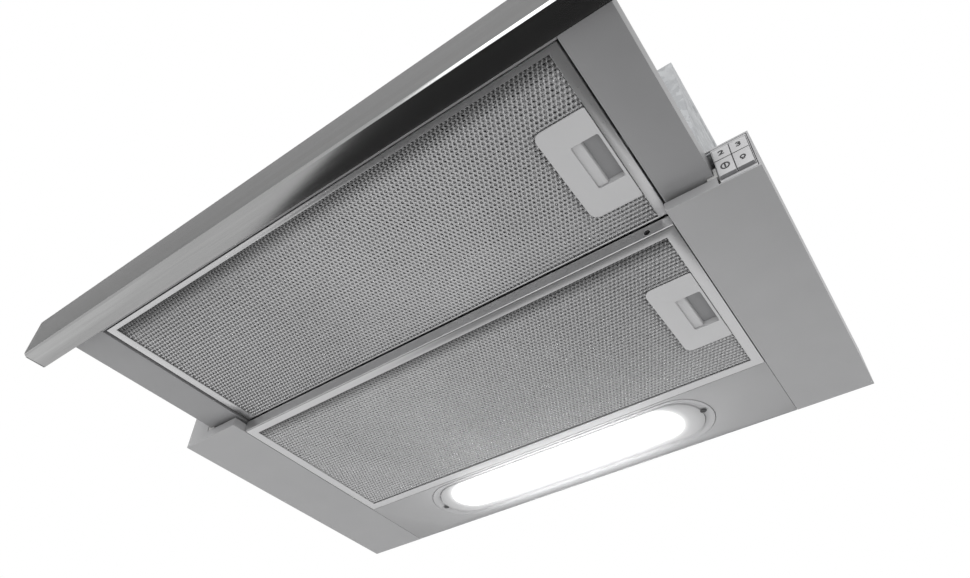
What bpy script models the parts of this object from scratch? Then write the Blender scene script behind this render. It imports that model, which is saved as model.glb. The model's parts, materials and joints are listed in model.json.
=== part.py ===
"""A slide-out range hood that hangs under a wall cabinet, in metres.

+X is right for someone who faces the hood, +Y points into the wall and +Z is up. The origin is on the
back face, in the middle, level with the cabinet's underside. The visor is drawn fully out.
"""

import math

import bmesh
import bpy
from mathutils import Matrix, Vector

# Driving sizes of the whole hood
WIDTH = 0.598
DEPTH = 0.290
BASE_HEIGHT = 0.041
BODY_WIDTH = 0.526
BODY_HEIGHT = 0.162
BODY_SETBACK = 0.015
VISOR_TRAVEL = 0.155

# Sheets, gaps and seats
GAP = 0.0003
SHEET = 0.0010
STRONG_SHEET = 0.0012
SLIDE_GAP = 0.0006

# Side panels and the opening between them
TRAY_WIDTH = 0.070
CHEEK_WIDTH = 0.028
LIP_HEIGHT = 0.0088
CABINET_LEDGE = 0.033
PLENUM_HALF_WIDTH = 0.215
PLENUM_FRONT_STRIP = 0.045
PLATE_SEAT = 0.004
PLATE_FOLD = 0.0022
BACK_WALL_OVERLAP = 0.010

# Lamp
LAMP_PANEL_DEPTH = 0.086
LAMP_HALF_DEPTH = 0.036
LAMP_BEND_X = 0.128
LAMP_CENTRE_Y = -0.047
LAMP_BEZEL_WALL = 0.005
LAMP_TUB_HEIGHT = 0.011
LENS_THICKNESS = 0.0026
LENS_EDGE = 0.0010
LED_BOARD_HALF_DEPTH = 0.011
LED_BOARD_THICKNESS = 0.0016

# Grease filters
FILTER_HEIGHT = 0.0089
FILTER_LIP = 0.0008
FILTER_GROOVE = 0.0035
REAR_FILTER_SETBACK = 0.014
REAR_FILTER_SIDE_GAP = 0.0008
REAR_FILTER_RIM = 0.0092
DRAIN_RADIUS = 0.0022
DRAIN_DEPTH = 0.004
DRAIN_INSET = 0.0202
BAR_TO_FRONT_FILTER = 0.0280
FRONT_FILTER_RAISE = 0.0123
FRONT_RIM_LEFT = 0.0085
FRONT_RIM_RIGHT = 0.0080
FRONT_RIM_FRONT = 0.0047
FRONT_RIM_REAR = 0.0020
FRONT_FILTER_LEFT_GAP = 0.0035
FRONT_FILTER_RIGHT_GAP = 0.0015
FRONT_HANDLE_SHIFT = 0.0105
HANDLE_LENGTH = 0.0405
HANDLE_DEPTH = 0.0862
HANDLE_PLATE = 0.0016
HANDLE_CORNER = 0.006
POCKET_LENGTH = 0.0210
POCKET_DEPTH = 0.0410
POCKET_INSET = 0.0022
POCKET_HEIGHT = 0.0067
POCKET_WALL = 0.0012
LATCH_TRAVEL = 0.004
LATCH_RIDGE = 0.0076
LATCH_FLOOR = 0.0012
LATCH_BOLT_DEPTH = 0.010
LATCH_BOLT_THICKNESS = 0.0010

# Visor
BAR_DEPTH = 0.0200
BAR_STOP_GAP = 0.0004
BAR_CORNER = 0.0015
END_CAP = 0.0013
END_CAP_CORNER = 0.003
VISOR_INNER_STEP = 0.0005
VISOR_SIDE_GAP = 0.0037
VISOR_REAR_MARGIN = 0.025
VISOR_TOP = 0.0046
VISOR_FRONT_RAIL_DEPTH = 0.0255
VISOR_REAR_RAIL_DEPTH = 0.0095
VISOR_REAR_RAIL_HEIGHT = 0.014
VISOR_COVER_OVERLAP = 0.040
SHOE_LENGTH = 0.070
SHOE_SETBACK = 0.005
SHOE_GAP = 0.0004
SHOE_LEAD_IN = 0.0015

# Rails that carry the visor
RAIL_HEIGHT = 0.018
RAIL_DROP = 0.007
RAIL_DEPTH = 0.012
RAIL_SIDE_GAP = 0.001
RAIL_FOOT_GAP = 0.002
RAIL_END_MARGIN = 0.005
RAIL_FRONT_MARGIN = 0.025
GLIDE_DEPTH = 0.012
GLIDE_UNDER_VISOR = 0.0053
GLIDE_CHEEK_GAP = 0.0007
GLIDE_TAB_HEIGHT = 0.0102

# Control module and its keys
MODULE_DEPTH = 0.016
MODULE_WALL = 0.0005
MODULE_BACK = 0.0020
MODULE_SILL = 0.0024
MODULE_HEAD = 0.0012
MODULE_LEFT_STEP = 0.0004
MODULE_SIDE_GAP = 0.0005
MODULE_TOP_GAP = 0.0006
KEY_PROUD = 0.0033
KEY_TRAVEL = 0.002
KEY_BODY = 0.009
KEY_SPLIT = 0.0006
KEY_EDGE = 0.0006
KEY_TOP_PROUD = 0.0002
LOWER_KEY_HEIGHT = 0.0168

# Switch that the closed visor presses
SWITCH_HALF_WIDTH = 0.008
SWITCH_HEIGHT = 0.013
SWITCH_BACK = -0.006
PLUNGER_HALF = 0.0020
PLUNGER_DROP = 0.008
PLUNGER_PROUD = 0.003
PLUNGER_HIDDEN = 0.0018
PLUNGER_ROOM = 0.0016

# Blower
BLOWER_Y = -0.120
BLOWER_FLOOR_GAP = 0.004
IMPELLER_RADIUS = 0.052
IMPELLER_HALF_WIDTH = 0.050
IMPELLER_BLADES = 16
BLADE_DEPTH = 0.010
BLADE_SLOT_SHARE = 0.72
CAGE_RIM = 0.004
HUB_DISC = (0.002, 0.006)
HUB_DISC_RIM = 0.003
VOLUTE_CLEARANCE = 0.006
VOLUTE_SPREAD = 0.016
VOLUTE_SIDE_CLEARANCE = 0.010
VOLUTE_WALL = 0.0015
VOLUTE_THROAT = 0.080
VOLUTE_FROM_DEGREES = 62
VOLUTE_TURN_DEGREES = 242
INLET_LIP = 0.008
MOTOR_RADIUS = 0.034
MOTOR_LENGTH = 0.056
MOTOR_SHOULDER = 0.004
MOTOR_HUB_GAP = 0.0063
SHAFT_RADIUS = 0.0047
SHAFT_END = 0.016
BRACKET_STRIP = 0.020
BRACKET_REACH = 0.012
BRACKET_FOOT = 0.010
BRACKET_THICKNESS = 0.002

# Duct spigot and its two flaps
SPIGOT_RADIUS = 0.0597
SPIGOT_WALL = 0.0017
SPIGOT_HEIGHT = 0.045
SPIGOT_FLANGE = 0.013
SPIGOT_FLANGE_THICKNESS = 0.002
FLAP_RAISE = 0.008
FLAP_PIN_RADIUS = 0.0020
FLAP_PIN_END_GAP = 0.0006
FLAP_RIM_GAP = 0.0008
FLAP_KNUCKLE = 0.0036
FLAP_THICKNESS = 0.0010
FLAP_WEB = 0.0008

# Electrical parts that stand on the chassis plate, each from its low corner
TERMINAL_BOX_AT = (0.180, -0.064)
TERMINAL_BOX_SIZE = (0.056, 0.048, 0.0332)
TERMINAL_BOX_WALL = 0.002
LED_DRIVER_AT = (-0.235, -0.066)
LED_DRIVER_SIZE = (0.070, 0.036, 0.0252)
LED_DRIVER_EDGE = 0.002
CAPACITOR_AT = (0.135, -0.042)
CAPACITOR_RADIUS = 0.015
CAPACITOR_HEIGHT = 0.0592
GLAND_RADIUS = 0.008
GLAND_AT = (0.205, -0.040)
GLAND_BORE = 0.004
GLAND_COLLAR = 0.003
GLAND_COLLAR_HEIGHT = 0.005
GLAND_HEIGHT = 0.012
GLAND_SHANK = 0.004

# Spring plates that hold the body between the cabinet's sides
MOUNT_PLATE_THICKNESS = 0.0016
MOUNT_PLATE_Y = (-0.185, -0.115)
MOUNT_PLATE_Z = (0.050, 0.120)
MOUNT_SCREWS_Y = (-0.170, -0.130)
MOUNT_SCREWS_Z = 0.100
MOUNT_SCREW_RADIUS = 0.003

# Worked out once from the sizes above
HALF = WIDTH / 2
FRONT = -DEPTH
BOTTOM = -BASE_HEIGHT
TRAY_INNER = HALF - TRAY_WIDTH
CHEEK_INNER = HALF - CHEEK_WIDTH
LEDGE_INNER = HALF - CABINET_LEDGE
LIP_TOP = BOTTOM + LIP_HEIGHT
PLATE_TOP = -STRONG_SHEET - GAP
PLATE_BOTTOM = PLATE_TOP - STRONG_SHEET
BODY_HALF = BODY_WIDTH / 2
BODY_FRONT = FRONT + BODY_SETBACK
PANEL_HALF = TRAY_INNER - GAP
VISOR_FRONT = FRONT - BAR_STOP_GAP - VISOR_TRAVEL - BAR_DEPTH
VISOR_REAR = -VISOR_REAR_MARGIN - VISOR_TRAVEL
VISOR_INNER = TRAY_INNER + VISOR_INNER_STEP
VISOR_OUTER = CHEEK_INNER - VISOR_SIDE_GAP
VISOR_BOTTOM = BOTTOM + FRONT_FILTER_RAISE
VOLUTE_START = IMPELLER_RADIUS + VOLUTE_CLEARANCE
VOLUTE_END = VOLUTE_START + VOLUTE_SPREAD
VOLUTE_HALF_WIDTH = IMPELLER_HALF_WIDTH + VOLUTE_SIDE_CLEARANCE
INLET_RADIUS = IMPELLER_RADIUS - INLET_LIP
BLOWER_Z = VOLUTE_END + BLOWER_FLOOR_GAP
SPIGOT_Y = BLOWER_Y - VOLUTE_END + VOLUTE_THROAT / 2
SPIGOT_BASE = BODY_HEIGHT + GAP
FLAP_Z = SPIGOT_BASE + FLAP_RAISE

FINISHES = {
    "silver_lacquer": ((0.42, 0.42, 0.43), 0.6, 0.42),
    "brushed_steel": ((0.46, 0.46, 0.46), 1.0, 0.30),
    "galvanised_steel": ((0.55, 0.56, 0.57), 0.9, 0.50),
    "aluminium": ((0.66, 0.66, 0.67), 1.0, 0.35),
    "light_grey_plastic": ((0.56, 0.56, 0.57), 0.0, 0.45),
    "dark_plastic": ((0.03, 0.03, 0.03), 0.0, 0.50),
    "white_nylon": ((0.78, 0.78, 0.76), 0.0, 0.40),
    "lamp_lens": ((0.95, 0.95, 0.95), 0.0, 0.25),
    "circuit_board": ((0.85, 0.86, 0.84), 0.0, 0.55),
    "grey_plastic": ((0.22, 0.23, 0.24), 0.0, 0.55),
}

# Rows are the world axes, written in the local axes of a section that is drawn flat and pulled along Z
SECTION_TURNS = {
    "X": Matrix(((0, 0, 1, 0), (1, 0, 0, 0), (0, 1, 0, 0), (0, 0, 0, 1))),
    "Y": Matrix(((1, 0, 0, 0), (0, 0, -1, 0), (0, 1, 0, 0), (0, 0, 0, 1))),
    "Z": Matrix.Identity(4),
}


def clear_scene():
    for obj in list(bpy.data.objects):
        bpy.data.objects.remove(obj)


def new_collection(name):
    collection = bpy.data.collections.new(name)
    bpy.context.scene.collection.children.link(collection)
    return collection


def make_materials():
    made = {}
    for name, (colour, metallic, roughness) in FINISHES.items():
        material = bpy.data.materials.new(name)
        material.use_nodes = True
        shader = material.node_tree.nodes["Principled BSDF"]
        shader.inputs["Base Color"].default_value = (*colour, 1)
        shader.inputs["Metallic"].default_value = metallic
        shader.inputs["Roughness"].default_value = roughness
        made[name] = material
    return made


clear_scene()
PARTS = new_collection("slide_out_range_hood")
CUTTERS = new_collection("cutters")
MATERIALS = make_materials()


# ---- Shapes, as meshes in world coordinates ----


def mesh_from(bm, name="shape"):
    mesh = bpy.data.meshes.new(name)
    bm.to_mesh(mesh)
    bm.free()
    return mesh


def box_mesh(low, high):
    """A box between two corners, given in any order."""
    low, high = (Vector(map(f, low, high)) for f in (min, max))
    bm = bmesh.new()
    bmesh.ops.create_cube(bm, size=1)
    bmesh.ops.scale(bm, vec=high - low, verts=bm.verts)
    bmesh.ops.translate(bm, vec=(low + high) / 2, verts=bm.verts)
    return mesh_from(bm)


def evaluated_mesh(obj, merge=0.000005):
    """The object's mesh with its caps or its seam welded, in world coordinates. The object is removed."""
    bpy.context.scene.collection.objects.link(obj)
    graph = bpy.context.evaluated_depsgraph_get()
    mesh = bpy.data.meshes.new_from_object(obj.evaluated_get(graph))
    mesh.transform(obj.matrix_world)
    bm = bmesh.new()
    bm.from_mesh(mesh)
    bmesh.ops.remove_doubles(bm, verts=bm.verts, dist=merge)
    bmesh.ops.recalc_face_normals(bm, faces=bm.faces)
    bm.to_mesh(mesh)
    bm.free()
    bpy.data.objects.remove(obj)
    return mesh


def section_mesh(outline, axis, start, end):
    """A flat outline pulled along an axis. Its points are (y, z) along X, (x, z) along Y, (x, y) along Z."""
    curve = bpy.data.curves.new("section", "CURVE")
    curve.dimensions = "2D"
    curve.fill_mode = "BOTH"
    curve.extrude = abs(end - start) / 2
    spline = curve.splines.new("POLY")
    spline.points.add(len(outline) - 1)
    for point, (a, b) in zip(spline.points, outline):
        point.co = (a, b, 0, 1)
    spline.use_cyclic_u = True
    obj = bpy.data.objects.new("section", curve)
    middle = Vector([(start + end) / 2 if name == axis else 0 for name in "XYZ"])
    obj.matrix_world = Matrix.Translation(middle) @ SECTION_TURNS[axis]
    return evaluated_mesh(obj)


def cylinder_mesh(radius, axis, centre, start, end, sides=48):
    bm = bmesh.new()
    bmesh.ops.create_cone(
        bm, cap_ends=True, segments=sides, radius1=radius, radius2=radius, depth=abs(end - start)
    )
    middle = Vector([(start + end) / 2 if name == axis else c for name, c in zip("XYZ", centre)])
    bmesh.ops.transform(bm, matrix=Matrix.Translation(middle) @ SECTION_TURNS[axis], verts=bm.verts)
    bmesh.ops.recalc_face_normals(bm, faces=bm.faces)
    return mesh_from(bm)


def turned_mesh(profile, axis, centre, sides=48):
    """A closed profile of (radius, height along the axis) turned round an axis through the centre."""
    bm = bmesh.new()
    points = [bm.verts.new((radius, 0, height)) for radius, height in profile]
    for point, following in zip(points, points[1:] + points[:1]):
        bm.edges.new((point, following))
    obj = bpy.data.objects.new("turned", mesh_from(bm))
    screw = obj.modifiers.new("turn", "SCREW")
    screw.steps = sides
    screw.render_steps = sides
    screw.use_merge_vertices = True
    screw.merge_threshold = 0.00001
    obj.matrix_world = Matrix.Translation(Vector(centre)) @ SECTION_TURNS[axis]
    return evaluated_mesh(obj)


def arc(centre, radius, from_degrees, to_degrees, steps):
    """Points along an arc, both ends included."""
    angles = [from_degrees + (to_degrees - from_degrees) * i / steps for i in range(steps + 1)]
    return [
        (centre[0] + radius * math.cos(math.radians(a)), centre[1] + radius * math.sin(math.radians(a)))
        for a in angles
    ]


def stadium(centre_y, bend_x, radius, steps=16):
    """A slot-shaped outline: two straight runs along X joined by half circles."""
    right = arc((bend_x, centre_y), radius, -90, 90, steps)
    left = arc((-bend_x, centre_y), radius, 90, 270, steps)
    return right + left


# ---- Objects ----


def add_part(name, mesh, finish, origin=(0, 0, 0)):
    """A sub-part whose origin is moved to a point, for a moving piece a point on its joint's axis."""
    obj = bpy.data.objects.new(name, mesh)
    mesh.name = name
    mesh.transform(Matrix.Translation(-Vector(origin)))
    obj.location = origin
    mesh.materials.clear()
    mesh.materials.append(MATERIALS[finish])
    PARTS.objects.link(obj)
    return obj


def combine(obj, mesh, operation):
    """Cuts a mesh from a sub-part, or joins it on, and keeps the cutter as a hidden guide."""
    cutter = bpy.data.objects.new(f"{obj.name}_{operation.lower()}", mesh)
    cutter.hide_render = True
    cutter.display_type = "WIRE"
    CUTTERS.objects.link(cutter)
    boolean = obj.modifiers.new(operation.lower(), "BOOLEAN")
    boolean.operation = operation
    boolean.solver = "EXACT"
    boolean.object = cutter


def cut(obj, *meshes):
    for mesh in meshes:
        combine(obj, mesh, "DIFFERENCE")


def join(obj, *meshes):
    for mesh in meshes:
        combine(obj, mesh, "UNION")


def smooth(obj, degrees=35):
    obj.data.shade_smooth()
    obj.data.set_sharp_from_angle(angle=math.radians(degrees))


def mirrored(low, high, side):
    """A box's corners on the right (side 1) or on the left (side -1)."""
    return (side * low[0], low[1], low[2]), (side * high[0], high[1], high[2])


SIDES = {"left": -1, "right": 1}


# ---- Base ----


def side_panels():
    """Folded steel trays: sole, inner lip, outer wall, ledge on top, front cheek and back wall."""
    beyond = 0.001
    for name, side in SIDES.items():
        low, high = mirrored((TRAY_INNER, FRONT, BOTTOM), (HALF, 0, 0), side)
        panel = add_part(f"side_panel_{name}", box_mesh(low, high), "silver_lacquer")
        inside = mirrored(
            (TRAY_INNER + SHEET, FRONT + SHEET, BOTTOM + SHEET), (HALF - SHEET, -SHEET, -STRONG_SHEET), side
        )
        above_lip = mirrored(
            (TRAY_INNER - beyond, FRONT - beyond, LIP_TOP), (LEDGE_INNER, -SHEET, beyond), side
        )
        visor_slot = mirrored(
            (LEDGE_INNER - beyond, FRONT - beyond, LIP_TOP),
            (CHEEK_INNER, FRONT + 2 * SHEET, -STRONG_SHEET),
            side,
        )
        body_notch = mirrored(
            (TRAY_INNER - beyond, -2 * SHEET, PLATE_TOP), (LEDGE_INNER, beyond, beyond), side
        )
        cut(panel, *(box_mesh(*corners) for corners in (inside, above_lip, visor_slot, body_notch)))
        if name == "right":
            window_low = (CHEEK_INNER - 2 * beyond, FRONT - beyond, BOTTOM + SHEET)
            window_high = (HALF - SHEET - GAP, FRONT + 2 * SHEET, -STRONG_SHEET - GAP)
            cut(panel, box_mesh(window_low, window_high))


def chassis_plate():
    """The plate that closes the top of the base, with the air opening and a folded front strip."""
    half = LEDGE_INNER + PLATE_SEAT
    plate = add_part(
        "chassis_plate",
        box_mesh((-half, FRONT + SHEET + GAP, PLATE_BOTTOM), (half, -STRONG_SHEET - GAP, PLATE_TOP)),
        "galvanised_steel",
    )
    strip_half = LEDGE_INNER - SLIDE_GAP
    fold_back = FRONT + PLATE_FOLD
    join(plate, box_mesh((-strip_half, FRONT, PLATE_BOTTOM), (strip_half, fold_back, 0)))
    behind_fold = (strip_half, fold_back + 0.001, 0.001)
    cut(plate, box_mesh((-strip_half, FRONT + STRONG_SHEET, PLATE_TOP), behind_fold))
    opening_low = (-PLENUM_HALF_WIDTH, FRONT + PLENUM_FRONT_STRIP, PLATE_BOTTOM - 0.001)
    opening_high = (PLENUM_HALF_WIDTH, -LAMP_PANEL_DEPTH, PLATE_TOP + 0.001)
    cut(plate, box_mesh(opening_low, opening_high))


def housing_shell():
    """The steel body inside the cabinet. Its back wall runs down behind the base."""
    low = (-BODY_HALF, BODY_FRONT, -STRONG_SHEET)
    shell = add_part("housing_shell", box_mesh(low, (BODY_HALF, 0, BODY_HEIGHT)), "galvanised_steel")
    inside_low = (-BODY_HALF + STRONG_SHEET, BODY_FRONT + STRONG_SHEET, -0.01)
    inside_high = (BODY_HALF - STRONG_SHEET, -STRONG_SHEET, BODY_HEIGHT - STRONG_SHEET)
    cut(shell, box_mesh(inside_low, inside_high))
    join(shell, box_mesh((-PANEL_HALF, -STRONG_SHEET, BOTTOM), (PANEL_HALF, 0, BACK_WALL_OVERLAP)))
    top = (BODY_HEIGHT - 0.01, BODY_HEIGHT + 0.01)
    outlet = cylinder_mesh(SPIGOT_RADIUS - SPIGOT_WALL, "Z", (0, SPIGOT_Y, 0), *top)
    cut(shell, outlet, cylinder_mesh(GLAND_RADIUS + GAP, "Z", (*GLAND_AT, 0), *top, sides=32))


def lamp_panel():
    """The strip behind the rear filter, with the lamp's slot-shaped hole and a stiffening fold in front."""
    front = -LAMP_PANEL_DEPTH
    back = -STRONG_SHEET - GAP
    strip = box_mesh((-PANEL_HALF, front, BOTTOM), (PANEL_HALF, back, LIP_TOP - SHEET))
    panel = add_part("lamp_panel", strip, "silver_lacquer")
    cut(panel, box_mesh((-HALF, front + SHEET, BOTTOM + SHEET), (HALF, back + 0.001, LIP_TOP)))
    hole = stadium(LAMP_CENTRE_Y, LAMP_BEND_X, LAMP_HALF_DEPTH)
    cut(panel, section_mesh(hole, "Z", BOTTOM - 0.01, BOTTOM + 0.01))


def lamp():
    """Plastic tub with a rounded rim, LED board under its roof and a slightly domed lens."""
    rim_radius = LAMP_HALF_DEPTH - GAP
    rim_bottom = BOTTOM - GAP
    tub_top = rim_bottom + LAMP_TUB_HEIGHT
    outline = stadium(LAMP_CENTRE_Y, LAMP_BEND_X, rim_radius)
    tub = add_part("lamp_bezel", section_mesh(outline, "Z", rim_bottom, tub_top), "light_grey_plastic")
    inner_radius = rim_radius - LAMP_BEZEL_WALL
    inner = stadium(LAMP_CENTRE_Y, LAMP_BEND_X, inner_radius)
    cut(tub, section_mesh(inner, "Z", rim_bottom - 0.01, tub_top - SHEET))

    board_top = tub_top - SHEET - GAP
    board_low = (-LAMP_BEND_X, LAMP_CENTRE_Y - LED_BOARD_HALF_DEPTH, board_top - LED_BOARD_THICKNESS)
    board_high = (LAMP_BEND_X, LAMP_CENTRE_Y + LED_BOARD_HALF_DEPTH, board_top)
    add_part("led_board", box_mesh(board_low, board_high), "circuit_board")

    glass = stadium(LAMP_CENTRE_Y, LAMP_BEND_X, inner_radius - GAP)
    disc = section_mesh(glass, "Z", rim_bottom, rim_bottom + LENS_THICKNESS)
    lens = add_part("lamp_lens", disc, "lamp_lens")
    bevel = lens.modifiers.new("rounded_edge", "BEVEL")
    bevel.width = LENS_EDGE
    bevel.segments = 2
    bevel.limit_method = "ANGLE"
    smooth(lens)


def rails():
    """Steel channels, open towards the middle, each hung by a foot under the ledge."""
    web = CHEEK_INNER + RAIL_SIDE_GAP + RAIL_DEPTH
    foot_end = HALF - RAIL_FOOT_GAP
    top = -RAIL_DROP
    bottom = top - RAIL_HEIGHT
    foot_top = -STRONG_SHEET - GAP
    mouth = web - RAIL_DEPTH
    outline = [
        (mouth, bottom),
        (web, bottom),
        (web, foot_top - SHEET),
        (foot_end, foot_top - SHEET),
        (foot_end, foot_top),
        (web - SHEET, foot_top),
        (web - SHEET, top),
        (mouth, top),
        (mouth, top - SHEET),
        (web - SHEET, top - SHEET),
        (web - SHEET, bottom + SHEET),
        (mouth, bottom + SHEET),
    ]
    for name, side in SIDES.items():
        points = [(side * x, z) for x, z in outline]
        mesh = section_mesh(points, "Y", FRONT + RAIL_FRONT_MARGIN, -RAIL_END_MARGIN)
        add_part(f"rail_{name}", mesh, "galvanised_steel")


def front_glides():
    """Nylon glides on the front lip, each with a small upright tab beside the visor."""
    inner = VISOR_OUTER - GLIDE_UNDER_VISOR
    outer = CHEEK_INNER - GLIDE_CHEEK_GAP
    back = FRONT + GLIDE_DEPTH
    for name, side in SIDES.items():
        foot = mirrored((inner, FRONT, LIP_TOP + GAP), (outer, back, VISOR_BOTTOM - GAP), side)
        tab_low = (VISOR_OUTER + GAP, FRONT, LIP_TOP + 0.001)
        tab = mirrored(tab_low, (outer, back, LIP_TOP + GLIDE_TAB_HEIGHT), side)
        glide = add_part(f"front_glide_{name}", box_mesh(*foot), "white_nylon")
        join(glide, box_mesh(*tab))


# ---- Blower ----


def volute_outline(wall):
    """The scroll's outline in (y, z), drawn in by a wall: a spiral that ends in an upright throat."""
    steps = 36
    points = []
    for i in range(steps + 1):
        turned = i / steps
        angle = math.radians(VOLUTE_FROM_DEGREES - VOLUTE_TURN_DEGREES * turned)
        radius = VOLUTE_START + (VOLUTE_END - VOLUTE_START) * turned - wall
        points.append((BLOWER_Y + radius * math.cos(angle), BLOWER_Z + radius * math.sin(angle)))
    front = BLOWER_Y - VOLUTE_END
    top = BODY_HEIGHT - STRONG_SHEET - GAP + (0.01 if wall else 0)
    throat_back = front + VOLUTE_THROAT - wall
    points += [(front + wall, top), (throat_back, top), (throat_back, BLOWER_Z + VOLUTE_START - wall)]
    return points


def blower_scroll():
    """The fan case: a scroll-shaped wrap with an open throat, and a side plate with an inlet at each end."""
    inner_half = VOLUTE_HALF_WIDTH - VOLUTE_WALL
    wrap_half = inner_half - GAP
    outline = volute_outline(0)
    wrap = add_part("scroll_wrap", section_mesh(outline, "X", -wrap_half, wrap_half), "galvanised_steel")
    beyond = wrap_half + 0.001
    cut(wrap, section_mesh(volute_outline(VOLUTE_WALL), "X", -beyond, beyond))
    for name, side in SIDES.items():
        plate = section_mesh(outline, "X", side * inner_half, side * VOLUTE_HALF_WIDTH)
        cheek = add_part(f"scroll_side_{name}", plate, "galvanised_steel")
        axle = (0, BLOWER_Y, BLOWER_Z)
        ends = (side * (inner_half - 0.001), side * (VOLUTE_HALF_WIDTH + 0.001))
        cut(cheek, cylinder_mesh(INLET_RADIUS, "X", axle, min(ends), max(ends)))


def impeller():
    """A squirrel-cage wheel: drum with a hub disc near the middle and slots cut between its blades."""
    half = IMPELLER_HALF_WIDTH
    inner = IMPELLER_RADIUS - BLADE_DEPTH
    bore = SHAFT_RADIUS + GAP
    disc = HUB_DISC
    profile = [
        (IMPELLER_RADIUS, half),
        (inner, half),
        (inner, disc[1]),
        (bore, disc[1]),
        (bore, disc[0]),
        (inner, disc[0]),
        (inner, -half),
        (IMPELLER_RADIUS, -half),
    ]
    axle = (0, BLOWER_Y, BLOWER_Z)
    drum = turned_mesh(profile, "X", axle, sides=IMPELLER_BLADES * 2)
    wheel = add_part("impeller", drum, "galvanised_steel", axle)
    slots = bmesh.new()
    slot_width = 2 * math.pi * inner / IMPELLER_BLADES * BLADE_SLOT_SHARE
    left_slots = (-half + CAGE_RIM, disc[0] - HUB_DISC_RIM)
    right_slots = (disc[1] + HUB_DISC_RIM, half - CAGE_RIM)
    for low, high in (left_slots, right_slots):
        for i in range(IMPELLER_BLADES):
            turn = Matrix.Rotation(2 * math.pi * (i + 0.5) / IMPELLER_BLADES, 4, "X")
            place = Matrix.Translation(((low + high) / 2, IMPELLER_RADIUS - BLADE_DEPTH / 2, 0))
            size = Matrix.Diagonal((high - low, BLADE_DEPTH * 1.6, slot_width, 1))
            bmesh.ops.create_cube(slots, size=1, matrix=Matrix.Translation(axle) @ turn @ place @ size)
    cut(wheel, mesh_from(slots))


def motor():
    """The motor can stands in the left half of the wheel and its shaft runs through the hub."""
    near = HUB_DISC[0] - MOTOR_HUB_GAP
    far = near - MOTOR_LENGTH
    core = 0.0001
    profile = [
        (core, SHAFT_END),
        (SHAFT_RADIUS, SHAFT_END),
        (SHAFT_RADIUS, near),
        (MOTOR_RADIUS - MOTOR_SHOULDER, near),
        (MOTOR_RADIUS, near - MOTOR_SHOULDER),
        (MOTOR_RADIUS, far + MOTOR_SHOULDER),
        (MOTOR_RADIUS - MOTOR_SHOULDER, far),
        (core, far),
    ]
    centre = (0, BLOWER_Y, BLOWER_Z)
    can = add_part("motor", turned_mesh(profile, "X", centre), "grey_plastic")
    join(can, cylinder_mesh(10 * core, "X", centre, far + 0.001, SHAFT_END - 0.001, sides=12))
    smooth(can)

    strip_inner = far - GAP
    strip_outer = strip_inner - BRACKET_THICKNESS
    reach = INLET_RADIUS + BRACKET_REACH
    low = (strip_outer, BLOWER_Y - reach, BLOWER_Z - BRACKET_STRIP / 2)
    high = (strip_inner, BLOWER_Y + reach, BLOWER_Z + BRACKET_STRIP / 2)
    bracket = add_part("motor_bracket", box_mesh(low, high), "galvanised_steel")
    for end in (-1, 1):
        foot_half = BRACKET_STRIP / 2 - 0.001
        foot_start = BLOWER_Y + end * (reach - BRACKET_FOOT)
        foot_low = (strip_outer + BRACKET_THICKNESS / 4, foot_start, BLOWER_Z - foot_half)
        foot_high = (-VOLUTE_HALF_WIDTH - GAP, BLOWER_Y + end * (reach - 0.0005), BLOWER_Z + foot_half)
        join(bracket, box_mesh(foot_low, foot_high))


def outlet_spigot():
    """The round duct collar on top, with its flange, hinge pin and two non-return flaps."""
    inner = SPIGOT_RADIUS - SPIGOT_WALL
    top = SPIGOT_BASE + SPIGOT_HEIGHT
    flange_top = SPIGOT_BASE + SPIGOT_FLANGE_THICKNESS
    profile = [
        (SPIGOT_RADIUS, top),
        (inner, top),
        (inner, SPIGOT_BASE),
        (SPIGOT_RADIUS + SPIGOT_FLANGE, SPIGOT_BASE),
        (SPIGOT_RADIUS + SPIGOT_FLANGE, flange_top),
        (SPIGOT_RADIUS, flange_top),
    ]
    centre = (0, SPIGOT_Y, 0)
    spigot = add_part("outlet_spigot", turned_mesh(profile, "Z", centre, sides=64), "dark_plastic")
    smooth(spigot)

    hinge = (0, SPIGOT_Y, FLAP_Z)
    reach = inner - FLAP_PIN_END_GAP
    pin_mesh = cylinder_mesh(FLAP_PIN_RADIUS, "Y", hinge, SPIGOT_Y - reach, SPIGOT_Y + reach, sides=16)
    add_part("flap_pin", pin_mesh, "galvanised_steel", hinge)
    knuckles = {"left": ((-0.75, -0.45), (0.45, 0.75)), "right": ((-0.3, 0.3),)}
    for name, side in SIDES.items():
        flap(name, side, hinge, inner - FLAP_RIM_GAP, knuckles[name])


def flap(name, side, hinge, radius, knuckles):
    """Half a disc that swings up round the pin on knuckles placed along it as shares of its radius."""
    edge = FLAP_KNUCKLE + SLIDE_GAP
    start = math.degrees(math.acos(edge / radius))
    rim = arc((0, hinge[1]), radius, -start, start, 24)
    outline = [(side * x, y) for x, y in rim]
    plate = section_mesh(outline, "Z", FLAP_Z - FLAP_THICKNESS / 2, FLAP_Z + FLAP_THICKNESS / 2)
    part = add_part(f"flap_{name}", plate, "dark_plastic", hinge)
    bore = FLAP_PIN_RADIUS + GAP
    for low, high in knuckles:
        ends = (hinge[1] + low * radius, hinge[1] + high * radius)
        web_low = (bore, ends[0], FLAP_Z - FLAP_WEB / 2)
        web = mirrored(web_low, (edge + 0.001, ends[1], FLAP_Z + FLAP_WEB / 2), side)
        join(part, cylinder_mesh(FLAP_KNUCKLE, "Y", hinge, *ends, sides=20), box_mesh(*web))
        cut(part, cylinder_mesh(bore, "Y", hinge, ends[0] - 0.001, ends[1] + 0.001, sides=20))


# ---- Electrical parts ----


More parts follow.
